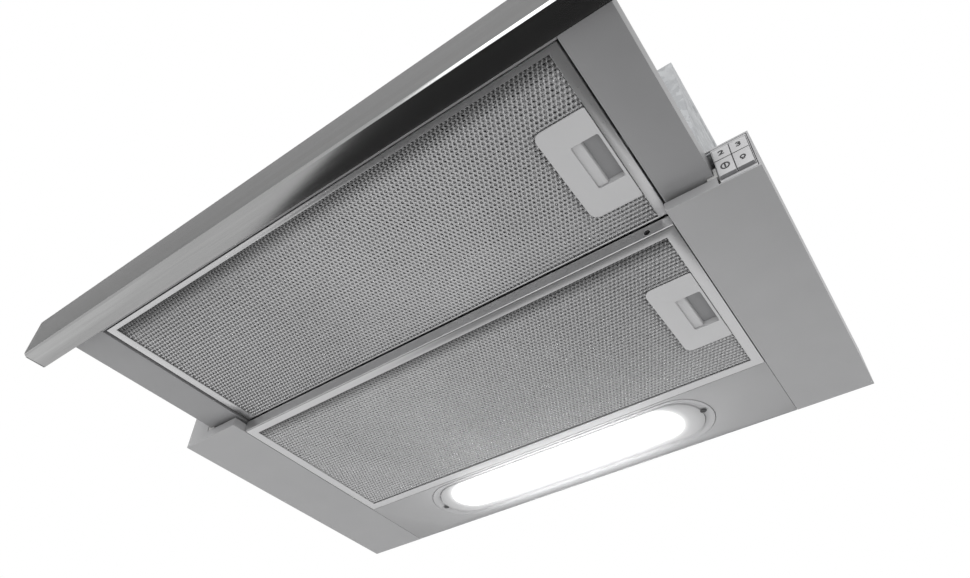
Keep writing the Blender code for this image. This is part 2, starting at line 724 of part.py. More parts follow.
def electrical_parts():
    """Boxes that stand on the chassis plate, and the cable gland in the roof of the body."""
    floor = PLATE_TOP + GAP
    low = Vector((*TERMINAL_BOX_AT, floor))
    high = low + Vector(TERMINAL_BOX_SIZE)
    terminal = add_part("terminal_box", box_mesh(low, high), "dark_plastic")
    wall = Vector((TERMINAL_BOX_WALL,) * 3)
    cut(terminal, box_mesh(low + Vector((wall.x, wall.y, -0.001)), high - wall))
    low = Vector((*LED_DRIVER_AT, floor))
    driver = add_part("led_driver", box_mesh(low, low + Vector(LED_DRIVER_SIZE)), "light_grey_plastic")
    bevel = driver.modifiers.new("rounded_edges", "BEVEL")
    bevel.width = LED_DRIVER_EDGE
    can = cylinder_mesh(CAPACITOR_RADIUS, "Z", (*CAPACITOR_AT, 0), floor, floor + CAPACITOR_HEIGHT, sides=32)
    smooth(add_part("capacitor", can, "light_grey_plastic"))

    inside_end = BODY_HEIGHT - STRONG_SHEET - GLAND_SHANK
    seat = BODY_HEIGHT + GAP
    collar = GLAND_RADIUS + GLAND_COLLAR
    profile = [
        (GLAND_RADIUS, inside_end),
        (GLAND_RADIUS, seat),
        (collar, seat),
        (collar, BODY_HEIGHT + GLAND_COLLAR_HEIGHT),
        (GLAND_RADIUS - 0.001, BODY_HEIGHT + GLAND_HEIGHT),
        (GLAND_BORE, BODY_HEIGHT + GLAND_HEIGHT),
        (GLAND_BORE, inside_end),
    ]
    smooth(add_part("cable_gland", turned_mesh(profile, "Z", (*GLAND_AT, 0), sides=24), "dark_plastic"))


def control_module():
    """The plastic box in the right cheek that holds four push keys: 2 and 3 above, 1 and light below."""
    left = CHEEK_INNER - MODULE_LEFT_STEP
    right = HALF - SHEET - GAP - MODULE_SIDE_GAP
    bottom = BOTTOM + SHEET + GAP
    top = -STRONG_SHEET - GAP - MODULE_TOP_GAP
    back = FRONT + MODULE_DEPTH
    block = box_mesh((left, FRONT, bottom), (right, back, top))
    module = add_part("control_module", block, "light_grey_plastic")
    inner_left, inner_right = left + MODULE_WALL, right - MODULE_WALL
    inner_bottom, inner_top = bottom + MODULE_SILL, top - MODULE_HEAD
    inner_low = (inner_left, FRONT - 0.001, inner_bottom)
    cut(module, box_mesh(inner_low, (inner_right, back - MODULE_BACK, inner_top)))

    middle_x = (inner_left + inner_right) / 2
    columns = ((inner_left + GAP, middle_x - KEY_SPLIT / 2), (middle_x + KEY_SPLIT / 2, inner_right - GAP))
    split_z = inner_bottom + GAP + LOWER_KEY_HEIGHT
    rows = ((inner_bottom + GAP, split_z), (split_z + KEY_SPLIT, inner_top - GAP))
    names = (("key_speed_1", "key_speed_2"), ("key_light", "key_speed_3"))
    face = FRONT - KEY_PROUD
    rear = FRONT + KEY_BODY
    for (x0, x1), (lower_name, upper_name) in zip(columns, names):
        lower = [(face, rows[0][0]), (rear, rows[0][0]), (rear, rows[0][1]), (face, rows[0][1])]
        top_face = FRONT - KEY_TOP_PROUD
        upper = [(face, rows[1][0]), (rear, rows[1][0]), (rear, rows[1][1]), (top_face, rows[1][1])]
        for name, outline in ((lower_name, lower), (upper_name, upper)):
            centre = ((x0 + x1) / 2, face, sum(z for _, z in outline) / 4)
            key = add_part(name, section_mesh(outline, "X", x0, x1), "light_grey_plastic", centre)
            bevel = key.modifiers.new("rounded_edges", "BEVEL")
            bevel.width = KEY_EDGE
            bevel.segments = 2


def microswitch():
    """The switch that the visor's right side presses when it is pushed home."""
    x = (VISOR_INNER + VISOR_OUTER) / 2
    closed_rear = -VISOR_REAR_MARGIN
    front = closed_rear + PLUNGER_PROUD
    top = PLATE_BOTTOM - GAP
    low = (x - SWITCH_HALF_WIDTH, front, top - SWITCH_HEIGHT)
    body = add_part("microswitch", box_mesh(low, (x + SWITCH_HALF_WIDTH, SWITCH_BACK, top)), "dark_plastic")
    z = PLATE_BOTTOM - PLUNGER_DROP
    hole = PLUNGER_HALF + GAP
    hole_back = front + PLUNGER_HIDDEN + PLUNGER_ROOM
    cut(body, box_mesh((x - hole, front - 0.001, z - hole), (x + hole, hole_back, z + hole)))
    tip = (x, closed_rear + GAP, z)
    plunger_low = (x - PLUNGER_HALF, tip[1], z - PLUNGER_HALF)
    plunger_high = (x + PLUNGER_HALF, front + PLUNGER_HIDDEN, z + PLUNGER_HALF)
    add_part("microswitch_plunger", box_mesh(plunger_low, plunger_high), "white_nylon", tip)


def mounting_brackets():
    """Spring-steel plates on the sides of the body, which screws pull against the cabinet's sides."""
    inner = BODY_HALF + GAP
    (front, back), (bottom, top) = MOUNT_PLATE_Y, MOUNT_PLATE_Z
    for name, side in SIDES.items():
        low, high = mirrored((inner, front, bottom), (inner + MOUNT_PLATE_THICKNESS, back, top), side)
        plate = add_part(f"mounting_bracket_{name}", box_mesh(low, high), "galvanised_steel")
        for y in MOUNT_SCREWS_Y:
            ends = sorted((side * (inner - 0.01), side * (inner + 0.01)))
            cut(plate, cylinder_mesh(MOUNT_SCREW_RADIUS, "X", (0, y, MOUNT_SCREWS_Z), *ends, sides=20))


# ---- Filters ----


def grease_filter(prefix, low, high, rims, handle_y):
    """A framed filter cassette with its mesh pack, handle and latch. Its hinge is its lower left edge."""
    hinge = (low[0], (low[1] + high[1]) / 2, low[2])
    left, right, front, rear = rims
    frame = add_part(f"{prefix}_filter_frame", box_mesh(low, high), "aluminium", hinge)
    hole_low = (low[0] + left, low[1] + front, low[2] - 0.001)
    hole_high = (high[0] - right, high[1] - rear, high[2] + 0.001)
    edge = min(FILTER_GROOVE, rear - SHEET)
    groove_low = (hole_low[0] - FILTER_GROOVE, hole_low[1] - FILTER_GROOVE, low[2] + FILTER_LIP)
    groove_high = (hole_high[0] + FILTER_GROOVE, hole_high[1] + edge, high[2] - FILTER_LIP)
    cut(frame, box_mesh(hole_low, hole_high), box_mesh(groove_low, groove_high))

    inset = Vector((GAP, GAP, GAP))
    pack_mesh = box_mesh(Vector(groove_low) + inset, Vector(groove_high) - inset)
    pack = add_part(f"{prefix}_filter_mesh", pack_mesh, "aluminium", hinge)

    plate_right = hole_high[0] - GAP
    plate_left = plate_right - HANDLE_LENGTH
    plate_top = low[2] + FILTER_LIP
    half = HANDLE_DEPTH / 2
    outline = [(plate_right, handle_y - half), (plate_right, handle_y + half)]
    outline += arc((plate_left + HANDLE_CORNER, handle_y + half - HANDLE_CORNER), HANDLE_CORNER, 90, 180, 6)
    outline += arc((plate_left + HANDLE_CORNER, handle_y - half + HANDLE_CORNER), HANDLE_CORNER, 180, 270, 6)
    plate = section_mesh(outline, "Z", plate_top - HANDLE_PLATE, plate_top)
    handle = add_part(f"{prefix}_filter_handle", plate, "light_grey_plastic", hinge)

    pocket_right = plate_right - POCKET_INSET
    pocket_left = pocket_right - POCKET_LENGTH
    room_left = pocket_left - LATCH_TRAVEL
    pocket_half = POCKET_DEPTH / 2
    roof = low[2] + POCKET_HEIGHT
    tub_low = (room_left - POCKET_WALL, handle_y - pocket_half - POCKET_WALL, plate_top - 0.0008)
    tub_high = (pocket_right + POCKET_WALL, handle_y + pocket_half + POCKET_WALL, roof + SHEET)
    join(handle, box_mesh(tub_low, tub_high))
    pocket_back = handle_y + pocket_half
    cut(
        handle,
        box_mesh((room_left, handle_y - pocket_half, plate_top), (pocket_right, pocket_back, roof)),
        box_mesh(
            (pocket_left, handle_y - pocket_half, plate_top - 0.01),
            (pocket_right, pocket_back, plate_top + 0.001),
        ),
    )

    floor_top = roof - GAP
    floor_bottom = floor_top - LATCH_FLOOR
    bolt_half = LATCH_BOLT_DEPTH / 2
    bolt_bottom = (floor_top + floor_bottom - LATCH_BOLT_THICKNESS) / 2
    bolt_low = Vector((pocket_right - 2 * SHEET, handle_y - bolt_half, bolt_bottom))
    bolt_high = Vector((high[0] + GAP, handle_y + bolt_half, bolt_bottom + LATCH_BOLT_THICKNESS))
    clearance = Vector((GAP, GAP, GAP))
    bolt_hole = (Vector((pocket_right - SHEET, *bolt_low[1:])) - clearance, bolt_high + clearance)
    cut(handle, box_mesh(*bolt_hole))
    cut(frame, box_mesh(*bolt_hole))
    notch_low = (tub_low[0] - GAP, tub_low[1] - GAP, low[2])
    notch_high = (high[0], tub_high[1] + GAP, high[2])
    cut(pack, box_mesh(notch_low, notch_high))

    ridge_low = (pocket_left + GAP, handle_y - pocket_half + GAP, plate_top + GAP)
    ridge_high = (ridge_low[0] + LATCH_RIDGE, handle_y + pocket_half - GAP, floor_top)
    ridge = box_mesh(ridge_low, ridge_high)
    latch = add_part(f"{prefix}_filter_latch", ridge, "light_grey_plastic", ridge_low)
    floor_low = (ridge_low[0], ridge_low[1], floor_bottom)
    floor_high = (pocket_right - GAP, ridge_high[1], floor_top)
    join(latch, box_mesh(floor_low, floor_high), box_mesh(bolt_low, bolt_high))
    return frame


def rear_filter():
    low = (-TRAY_INNER + REAR_FILTER_SIDE_GAP, FRONT + REAR_FILTER_SETBACK, BOTTOM)
    high = (TRAY_INNER - REAR_FILTER_SIDE_GAP, -LAMP_PANEL_DEPTH - GAP, BOTTOM + FILTER_HEIGHT)
    frame = grease_filter("rear", low, high, (REAR_FILTER_RIM,) * 4, (low[1] + high[1]) / 2)
    drain_at = (high[0] - DRAIN_INSET, 0, BOTTOM + FILTER_HEIGHT / 2)
    cut(frame, cylinder_mesh(DRAIN_RADIUS, "Y", drain_at, low[1] - 0.001, low[1] + DRAIN_DEPTH, sides=20))


def front_filter():
    """It ends just in front of the rear filter, so that it can drop with the rear one in its place."""
    low = (-VISOR_INNER + FRONT_FILTER_LEFT_GAP, VISOR_FRONT + BAR_TO_FRONT_FILTER, VISOR_BOTTOM)
    rear = FRONT + REAR_FILTER_SETBACK - GAP
    high = (VISOR_INNER - FRONT_FILTER_RIGHT_GAP, rear, VISOR_BOTTOM + FILTER_HEIGHT)
    rims = (FRONT_RIM_LEFT, FRONT_RIM_RIGHT, FRONT_RIM_FRONT, FRONT_RIM_REAR)
    grease_filter("front", low, high, rims, (low[1] + high[1]) / 2 + FRONT_HANDLE_SHIFT)


# ---- Visor ----


def front_bar():
    """The brushed steel bar: a channel that is open at the back, closed by a cap at each end."""
    half = HALF - END_CAP - GAP
    back = VISOR_FRONT + BAR_DEPTH
    outline = [
        (VISOR_FRONT + BAR_CORNER, 0),
        (VISOR_FRONT, -BAR_CORNER),
        (VISOR_FRONT, BOTTOM + BAR_CORNER),
        (VISOR_FRONT + BAR_CORNER, BOTTOM),
        (back, BOTTOM),
        (back, BOTTOM + SHEET),
        (VISOR_FRONT + BAR_CORNER + SHEET / 2, BOTTOM + SHEET),
        (VISOR_FRONT + STRONG_SHEET, BOTTOM + BAR_CORNER + SHEET / 2),
        (VISOR_FRONT + STRONG_SHEET, -BAR_CORNER - SHEET / 2),
        (VISOR_FRONT + BAR_CORNER + SHEET / 2, -SHEET),
        (back, -SHEET),
        (back, 0),
    ]
    add_part("front_bar", section_mesh(outline, "X", -half, half), "brushed_steel")
    cap = [
        (VISOR_FRONT + BAR_CORNER, 0),
        (VISOR_FRONT, -BAR_CORNER),
        (VISOR_FRONT, BOTTOM + END_CAP_CORNER),
        (VISOR_FRONT + END_CAP_CORNER, BOTTOM),
        (back, BOTTOM),
        (back, 0),
    ]
    for name, side in SIDES.items():
        mesh = section_mesh(cap, "X", side * (half + GAP), side * HALF)
        add_part(f"bar_end_cap_{name}", mesh, "brushed_steel")


def visor_frame():
    """Folded side channels, a rail at the front and at the back, a cover on top and a shoe on each side."""
    front = VISOR_FRONT + STRONG_SHEET + GAP
    top = -VISOR_TOP
    channel = [
        (VISOR_INNER, top),
        (VISOR_INNER, VISOR_BOTTOM),
        (VISOR_OUTER, VISOR_BOTTOM),
        (VISOR_OUTER, top),
        (VISOR_OUTER - SHEET, top),
        (VISOR_OUTER - SHEET, VISOR_BOTTOM + SHEET),
        (VISOR_INNER + SHEET, VISOR_BOTTOM + SHEET),
        (VISOR_INNER + SHEET, top),
    ]
    rail_top = -RAIL_DROP - SHEET - SHOE_GAP
    rail_bottom = -RAIL_DROP - RAIL_HEIGHT + SHEET + SHOE_GAP
    shoe_outer = CHEEK_INNER + RAIL_SIDE_GAP + RAIL_DEPTH - SHEET - SHOE_GAP
    shoe_back = VISOR_REAR - SHOE_SETBACK
    for name, side in SIDES.items():
        points = [(side * x, z) for x, z in channel]
        add_part(f"visor_side_{name}", section_mesh(points, "Y", front, VISOR_REAR), "silver_lacquer")
        low, high = mirrored(
            (VISOR_OUTER + GAP, shoe_back - SHOE_LENGTH, rail_bottom), (shoe_outer, shoe_back, rail_top), side
        )
        shoe = add_part(f"visor_shoe_{name}", box_mesh(low, high), "white_nylon")
        bevel = shoe.modifiers.new("lead_in", "BEVEL")
        bevel.width = SHOE_LEAD_IN

    half = VISOR_INNER - GAP
    rail_back = front + VISOR_FRONT_RAIL_DEPTH
    rail = [
        (front, VISOR_BOTTOM),
        (rail_back, VISOR_BOTTOM),
        (rail_back, top),
        (front, top),
        (front, top - SHEET),
        (rail_back - SHEET, top - SHEET),
        (rail_back - SHEET, VISOR_BOTTOM + SHEET),
        (front, VISOR_BOTTOM + SHEET),
    ]
    add_part("visor_front_rail", section_mesh(rail, "X", -half, half), "silver_lacquer")
    rear_front = VISOR_REAR - VISOR_REAR_RAIL_DEPTH
    lower = top - VISOR_REAR_RAIL_HEIGHT
    rear = [
        (rear_front, top),
        (rear_front, lower),
        (VISOR_REAR, lower),
        (VISOR_REAR, lower + SHEET),
        (rear_front + SHEET, lower + SHEET),
        (rear_front + SHEET, top),
    ]
    add_part("visor_rear_rail", section_mesh(rear, "X", -half, half), "silver_lacquer")
    cover_low = (-VISOR_OUTER + GAP, front, top + GAP)
    cover_high = (VISOR_OUTER - GAP, FRONT + VISOR_COVER_OVERLAP, top + GAP + SHEET)
    add_part("visor_top_cover", box_mesh(cover_low, cover_high), "silver_lacquer")


side_panels()
chassis_plate()
housing_shell()
lamp_panel()
lamp()
rails()
front_glides()
blower_scroll()
impeller()
motor()
outlet_spigot()
electrical_parts()
control_module()
microswitch()
mounting_brackets()
rear_filter()
front_filter()
front_bar()
visor_frame()
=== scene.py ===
"""Looks of a slide-out range hood that hangs under a wall cabinet, drawn fully out with its lamp on."""

import json
import math
from functools import partial

import bmesh
import bpy
from mathutils import Matrix, Vector

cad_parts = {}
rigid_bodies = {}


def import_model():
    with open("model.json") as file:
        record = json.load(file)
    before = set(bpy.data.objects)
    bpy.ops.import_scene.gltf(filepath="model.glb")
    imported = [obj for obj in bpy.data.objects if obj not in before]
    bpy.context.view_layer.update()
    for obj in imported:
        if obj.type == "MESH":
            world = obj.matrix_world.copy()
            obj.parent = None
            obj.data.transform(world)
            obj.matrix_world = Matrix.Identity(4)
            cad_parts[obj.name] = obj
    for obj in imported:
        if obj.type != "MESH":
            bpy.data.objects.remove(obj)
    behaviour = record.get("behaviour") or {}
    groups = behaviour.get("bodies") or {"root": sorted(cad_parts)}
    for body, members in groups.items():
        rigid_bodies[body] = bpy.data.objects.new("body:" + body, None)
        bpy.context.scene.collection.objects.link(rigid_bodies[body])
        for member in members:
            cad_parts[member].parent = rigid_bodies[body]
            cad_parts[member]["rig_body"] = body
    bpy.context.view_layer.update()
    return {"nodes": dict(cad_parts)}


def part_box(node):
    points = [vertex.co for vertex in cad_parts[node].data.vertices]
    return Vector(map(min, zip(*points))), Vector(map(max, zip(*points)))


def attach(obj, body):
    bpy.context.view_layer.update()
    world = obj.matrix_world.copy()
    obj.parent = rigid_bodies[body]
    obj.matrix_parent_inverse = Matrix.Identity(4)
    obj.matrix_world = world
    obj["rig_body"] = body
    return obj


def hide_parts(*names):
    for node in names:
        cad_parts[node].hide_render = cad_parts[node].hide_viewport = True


for startup in list(bpy.data.objects):
    bpy.data.objects.remove(startup)
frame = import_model()

# ---- Studio ----
# A white room with a pale floor well below the hood. Two big soft boxes light it from the front and
# from the left. A dark flag and a grey card shape the reflections in the brushed bar.

EYE = Vector((0.31561, -0.63334, -0.45778))
YAW = math.radians(35.2229)
PITCH = math.radians(43.0997)
ROLL = math.radians(0.162)
LENS = 27.382
SHIFT = (-0.0021, 0.0330)
FLOOR_Z = -1.35
FLAG_RISE = 0.45
ROOM_LIGHT = 1.0


def feed(made, inputs):
    """Gives a node its inputs by name or number: each a value, or a socket to link."""
    for key, value in inputs.items():
        if isinstance(value, bpy.types.NodeSocket):
            made.id_data.links.new(value, made.inputs[key])
        else:
            made.inputs[key].default_value = value
    return made


def new_material(name):
    """A material, its node tree and its shader."""
    material = bpy.data.materials.new(name)
    material.use_nodes = True
    return material, material.node_tree, material.node_tree.nodes["Principled BSDF"]


def mesh_from(bm, name):
    """The mesh of a bmesh, which is freed."""
    mesh = bpy.data.meshes.new(name)
    bm.to_mesh(mesh)
    bm.free()
    return mesh


def link_object(name, data, material=None):
    """An object with its data under the same name, and with one material if it's given."""
    data.name = name
    obj = bpy.data.objects.new(name, data)
    bpy.context.scene.collection.objects.link(obj)
    if material:
        data.materials.clear()
        data.materials.append(material)
    return obj


def soft_box(name, place, target, size, watts):
    """A square area light that faces a point."""
    light = bpy.data.lights.new(name, "AREA")
    light.size = size
    light.energy = watts
    lamp = link_object(name, light)
    lamp.location = place
    lamp.rotation_euler = (Vector(target) - Vector(place)).to_track_quat("-Z", "Y").to_euler()
    return lamp


def stage_card(name, centre, size, grey):
    """A flat matt card, facing up, that isn't part of the hood."""
    bm = bmesh.new()
    bmesh.ops.create_grid(bm, x_segments=1, y_segments=1, size=0.5)
    bmesh.ops.scale(bm, vec=(size[0], size[1], 1), verts=bm.verts)
    bmesh.ops.translate(bm, vec=centre, verts=bm.verts)
    material, _, shader = new_material(name)
    feed(shader, {"Base Color": (grey, grey, grey, 1), "Roughness": 0.9})
    card = link_object(name, mesh_from(bm, name), material)
    return card


forward = Vector((-math.sin(YAW) * math.cos(PITCH), math.cos(YAW) * math.cos(PITCH), math.sin(PITCH)))
level_right = Vector((math.cos(YAW), math.sin(YAW), 0))
level_up = level_right.cross(forward)
right = math.cos(ROLL) * level_right + math.sin(ROLL) * level_up
up = -math.sin(ROLL) * level_right + math.cos(ROLL) * level_up
camera = link_object("camera", bpy.data.cameras.new("camera"))
camera.data.lens = LENS
camera.data.shift_x, camera.data.shift_y = SHIFT
camera.data.clip_start = 0.01
camera.matrix_world = Matrix.Translation(EYE) @ Matrix((right, up, -forward)).transposed().to_4x4()
bpy.context.scene.camera = camera
bpy.context.scene.view_settings.view_transform = "Standard"

world = bpy.data.worlds.new("white_room")
world.use_nodes = True
feed(world.node_tree.nodes["Background"], {"Color": (1, 1, 1, 1), "Strength": ROOM_LIGHT})
bpy.context.scene.world = world

stage_card("floor", centre=(0, 0, FLOOR_Z), size=(30, 30), grey=0.80)
for card in (
    stage_card("dark_flag", centre=(0.22, -0.21, FLOOR_Z + FLAG_RISE), size=(1.44, 1.08), grey=0.01),
    stage_card("ceiling_card", centre=(-0.70, -0.95, 1.2), size=(4.2, 1.2), grey=0.40),
):
    card.visible_camera = False
    card.visible_diffuse = False
    card.visible_shadow = False
soft_box("front_light", place=(0.4, -2.2, 0.1), target=(0.1, -0.2, 0), size=1.6, watts=28)
soft_box("left_light", place=(-2.0, -0.4, -0.5), target=(0, -0.2, 0), size=1.4, watts=1)

# ---- Housing ----
# The body that stands inside the cabinet: one folded box of galvanised sheet, pressed with stiffening
# beads and closed by pan-head screws along its lower edge.

WELD = 0.00001
FLAT_ANGLE = math.radians(0.5)
FOLD_ANGLE = math.radians(40)
CLOUD_SHARE = 0.02
GLOSS_SPREAD = 0.06
GRAIN_DEPTH = 0.0004
RELIEF_DEPTH = 0.0003


def node(tree, kind, inputs=(), **settings):
    """A new node with its settings and its inputs."""
    made = tree.nodes.new(kind)
    for key, value in settings.items():
        setattr(made, key, value)
    return feed(made, dict(inputs))


def maths(tree, operation, a, b=0.0):
    """The result of one sum."""
    return node(tree, "ShaderNodeMath", {0: a, 1: b}, operation=operation).outputs[0]


def vector_maths(tree, operation, a, b=(0, 0, 0)):
    """The result of one sum with vectors."""
    return node(tree, "ShaderNodeVectorMath", {0: a, 1: b}, operation=operation).outputs[0]


def blend(tree, share, dark, light):
    """A colour between two, by a share from 0 to 1."""
    inputs = {0: share, 6: (*dark, 1), 7: (*light, 1)}
    return node(tree, "ShaderNodeMix", inputs, data_type="RGBA").outputs[2]


def remap(tree, value, target, source=(0.0, 1.0), curve="LINEAR"):
    """A value carried from one span to another, and held at its ends."""
    spans = {0: value, 1: source[0], 2: source[1], 3: target[0], 4: target[1]}
    return node(tree, "ShaderNodeMapRange", spans, interpolation_type=curve).outputs[0]


def bumped(tree, height, strength, depth=RELIEF_DEPTH):
    """The normal of a shallow relief."""
    inputs = {"Strength": strength, "Distance": depth, "Height": height}
    return node(tree, "ShaderNodeBump", inputs).outputs["Normal"]


def piece_place(tree):
    """Object coordinates, which stay with a piece when it moves."""
    return node(tree, "ShaderNodeTexCoord").outputs["Object"]


def evaluated_mesh(obj):
    """The mesh that an object shows, with its modifiers applied."""
    graph = bpy.context.evaluated_depsgraph_get()
    return bpy.data.meshes.new_from_object(obj.evaluated_get(graph))


def made_plain(obj):
    """Puts the evaluated mesh in the object and takes its modifiers away."""
    mesh = evaluated_mesh(obj)
    mesh.name = obj.name
    obj.modifiers.clear()
    obj.data = mesh
    return obj


def stands_for(obj, cad_node):
    """The piece replaces a CAD node and moves with its body."""
    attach(obj, frame["nodes"][cad_node]["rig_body"])
    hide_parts(cad_node)
    return obj


def softened(cad_node, material, radius, segments=2):
    """A copy of a CAD node with its folds and edges rounded, which stands for that node."""
    bm = bmesh.new()
    bm.from_mesh(frame["nodes"][cad_node].data)
    bmesh.ops.remove_doubles(bm, verts=bm.verts, dist=WELD)
    bmesh.ops.dissolve_limit(bm, angle_limit=FLAT_ANGLE, verts=bm.verts, edges=bm.edges)
    mesh = mesh_from(bm, cad_node)
    mesh.shade_smooth()
    obj = link_object(f"{cad_node}_finished", mesh, material)
    bevel = obj.modifiers.new("folds", "BEVEL")
    bevel.width = radius
    bevel.segments = segments
    bevel.limit_method = "ANGLE"
    bevel.angle_limit = FOLD_ANGLE
    bevel.harden_normals = True
    return stands_for(made_plain(obj), cad_node)


def blank_group(name, kind, inputs, outputs):
    """A node group with its named sockets, and what its input node gives."""
    tree = bpy.data.node_groups.new(name, f"{kind}NodeTree")
    for in_out, sockets in (("INPUT", inputs), ("OUTPUT", outputs)):
        for socket, value in sockets.items():
            tree.interface.new_socket(socket, in_out=in_out, socket_type=f"NodeSocket{value}")
    return tree, node(tree, "NodeGroupInput").outputs


def grain_group():
    """Values that vary over a surface: Fine for grain and Broad for slow changes, both from 0 to 1."""
    inputs = {"Vector": "Vector", "Stretch": "Vector", "Scale": "Float"}
    tree, given = blank_group("surface_grain", "Shader", inputs, {"Fine": "Float", "Broad": "Float"})
    stretched = vector_maths(tree, "MULTIPLY", given["Vector"], given["Stretch"])
    slow = maths(tree, "MULTIPLY", given["Scale"], CLOUD_SHARE)
    fine = node(tree, "ShaderNodeTexNoise", {"Vector": stretched, "Scale": given["Scale"], "Detail": 3.0})
    broad = node(tree, "ShaderNodeTexNoise", {"Vector": given["Vector"], "Scale": slow, "Detail": 2.0})
    node(tree, "NodeGroupOutput", {"Fine": fine.outputs["Fac"], "Broad": broad.outputs["Fac"]})
    return tree


surface_grain = grain_group()


def grain(tree, scale, stretch=(1, 1, 1)):
    """What the surface grain puts out over a piece."""
    inputs = {"Vector": piece_place(tree), "Stretch": stretch, "Scale": scale}
    return node(tree, "ShaderNodeGroup", inputs, node_tree=surface_grain).outputs


def grained(name, colour, metallic, roughness, scale, spread=0.05, bump=0.02):
    """A finish whose colour, gloss and height vary with a fine grain and a slow cloudiness."""
    material, tree, shader = new_material(name)
    fine, broad = grain(tree, scale)
    share = maths(tree, "MULTIPLY", maths(tree, "ADD", fine, broad), 0.5)
    darker = [c * (1 - 2 * spread) for c in colour]
    lighter = [min(1, c * (1 + 2 * spread)) for c in colour]
    look = {
        "Base Color": blend(tree, share, darker, lighter),
        "Roughness": remap(tree, fine, (roughness - GLOSS_SPREAD, roughness + GLOSS_SPREAD)),
        "Normal": bumped(tree, fine, bump, GRAIN_DEPTH),
        "Metallic": metallic,
    }
    feed(shader, look)
    return material


def galvanised_material():
    """Zinc spangles: flat crystals a few millimetres wide, each with its own shade and gloss."""
    material, tree, shader = new_material("galvanised_sheet")
    place = piece_place(tree)
    wobble = node(tree, "ShaderNodeTexNoise", {"Vector": place, "Scale": 180.0, "Detail": 2.0})
    bent = node(tree, "ShaderNodeMix", {0: 0.012, 4: place, 5: wobble.outputs["Color"]}, data_type="VECTOR")
    crystal = node(tree, "ShaderNodeTexVoronoi", {"Vector": bent.outputs[1], "Scale": 170.0})
    shade = node(tree, "ShaderNodeSeparateColor", {0: crystal.outputs["Color"]}).outputs
    look = {
        "Base Color": blend(tree, shade[0], (0.37, 0.38, 0.39), (0.49, 0.50, 0.51)),
        "Roughness": remap(tree, shade[1], (0.46, 0.62)),
        "Normal": bumped(tree, crystal.outputs["Distance"], 0.05),
        "Metallic": 0.60,
    }
    feed(shader, look)
    return material


galvanised = galvanised_material()
softened("housing_shell", galvanised, 0.0005)

# ---- Chassis plate ----
# The galvanised plate that closes the top of the base and carries the body. It is one sheet with a
# folded strip in front.

softened("chassis_plate", galvanised, 0.0004)

# ---- Side panels and lamp panel ----
# Folded sheet-steel trays at the sides, and the panel between them that holds the lamp. All are in
# silver lacquer: a pale metallic paint with a very fine flake.

LACQUER_METAL = 0.35
LACQUER_FLAKE = 1500.0

silver_lacquer = grained(
    "silver_lacquer_paint", (0.37, 0.37, 0.375), LACQUER_METAL, 0.48, LACQUER_FLAKE, spread=0.04, bump=0.03
)
for side in ("left", "right"):
    softened(f"side_panel_{side}", silver_lacquer, 0.00045, segments=3)
softened("lamp_panel", silver_lacquer, 0.0004)

# ---- Visor ----
# The part that slides out: a brushed steel bar with end caps in front, folded lacquered channels at its
# sides, rails across and a thin cover on top.


def brushed_material():
    """Steel brushed along its length: fine straight scratches that stretch highlights across them."""
    material, tree, shader = new_material("brushed_steel_bar")
    scratch = grain(tree, 2600.0, stretch=(0.015, 1, 1))["Fine"]
    wide = grain(tree, 420.0, stretch=(0.01, 1, 1))["Fine"]
    share = maths(tree, "MULTIPLY", maths(tree, "ADD", scratch, wide), 0.5)
    look = {
        "Base Color": blend(tree, share, (0.30, 0.30, 0.30), (0.50, 0.50, 0.50)),
        "Roughness": remap(tree, share, (0.12, 0.26)),
        "Normal": bumped(tree, share, 0.12),
        "Metallic": 1.0,
    }
    feed(shader, look)
    return material


brushed = brushed_material()
visor_lacquer = grained(
    "visor_lacquer_paint", (0.295, 0.295, 0.30), LACQUER_METAL, 0.46, LACQUER_FLAKE, spread=0.04, bump=0.03
)
softened("front_bar", brushed, 0.00012)
for side in ("left", "right"):
    softened(f"bar_end_cap_{side}", brushed, 0.0004)
    softened(f"visor_side_{side}", visor_lacquer, 0.0004, segments=3)
for part in ("visor_front_rail", "visor_rear_rail", "visor_top_cover"):
    softened(part, visor_lacquer, 0.0003)

# ---- Lamp ----
# A moulded tub with a softly dished rim, pressed up into the slot of the lamp panel, and a frosted cover
# that is lit from behind. A small black clip near each end holds it. DISH and COVER are (radius, z) steps.

RIM_STEPS = 24
DISH = (
    (0.0357, 0.0004), (0.0354, -0.0004), (0.0346, -0.0002),
    (0.0336, 0.0008), (0.0322, 0.0013), (0.0309, 0.0009),
)
COVER = (
    (0.0304, 0.0012), (0.0300, -0.0002), (0.0286, -0.0010),
    (0.0240, -0.0021), (0.0160, -0.0030), (0.0070, -0.0034),
)
END_MARGIN = 0.0045
WALL_GAP = 0.0010
SPILL_DROP = 0.040
SPILL_WATTS = 0.27
SPILL_LENGTH = 0.22
SPILL_WIDTH = 0.010
GLOW_CORE = 0.0142
GLOW_EDGE = 0.0250
GLOW_FORWARD = 0.0062
GLOW_END = 0.0165
GLOW_STRENGTH = 14.0
CLIP_REACH = 0.0318
CLIP_SHIFT = 0.0030
CLIP_SQUASH = 0.8
CLIP_PROFILE = ((0.0010, -0.0006), (0.0029, -0.0008), (0.0034, -0.0002))


def turns(steps):
    """Angles set evenly round a circle."""
    return [2 * math.pi * i / steps for i in range(steps)]


def stadium(middle, bend_x, radius, z, steps=RIM_STEPS):
    """Points round a slot shape: two straight runs along X joined by half circles."""
    points = []
    for side, start in ((1, -90), (-1, 90)):
        for i in range(steps + 1):
            a = math.radians(start + 180 * i / steps)
            points.append((side * bend_x + radius * math.cos(a), middle + radius * math.sin(a), z))
    return points


def edged(mesh, degrees=38):
    """Smooths the shading of a mesh, but not over edges sharper than an angle."""
    mesh.shade_smooth()
    mesh.set_sharp_from_angle(angle=math.radians(degrees))
    return mesh


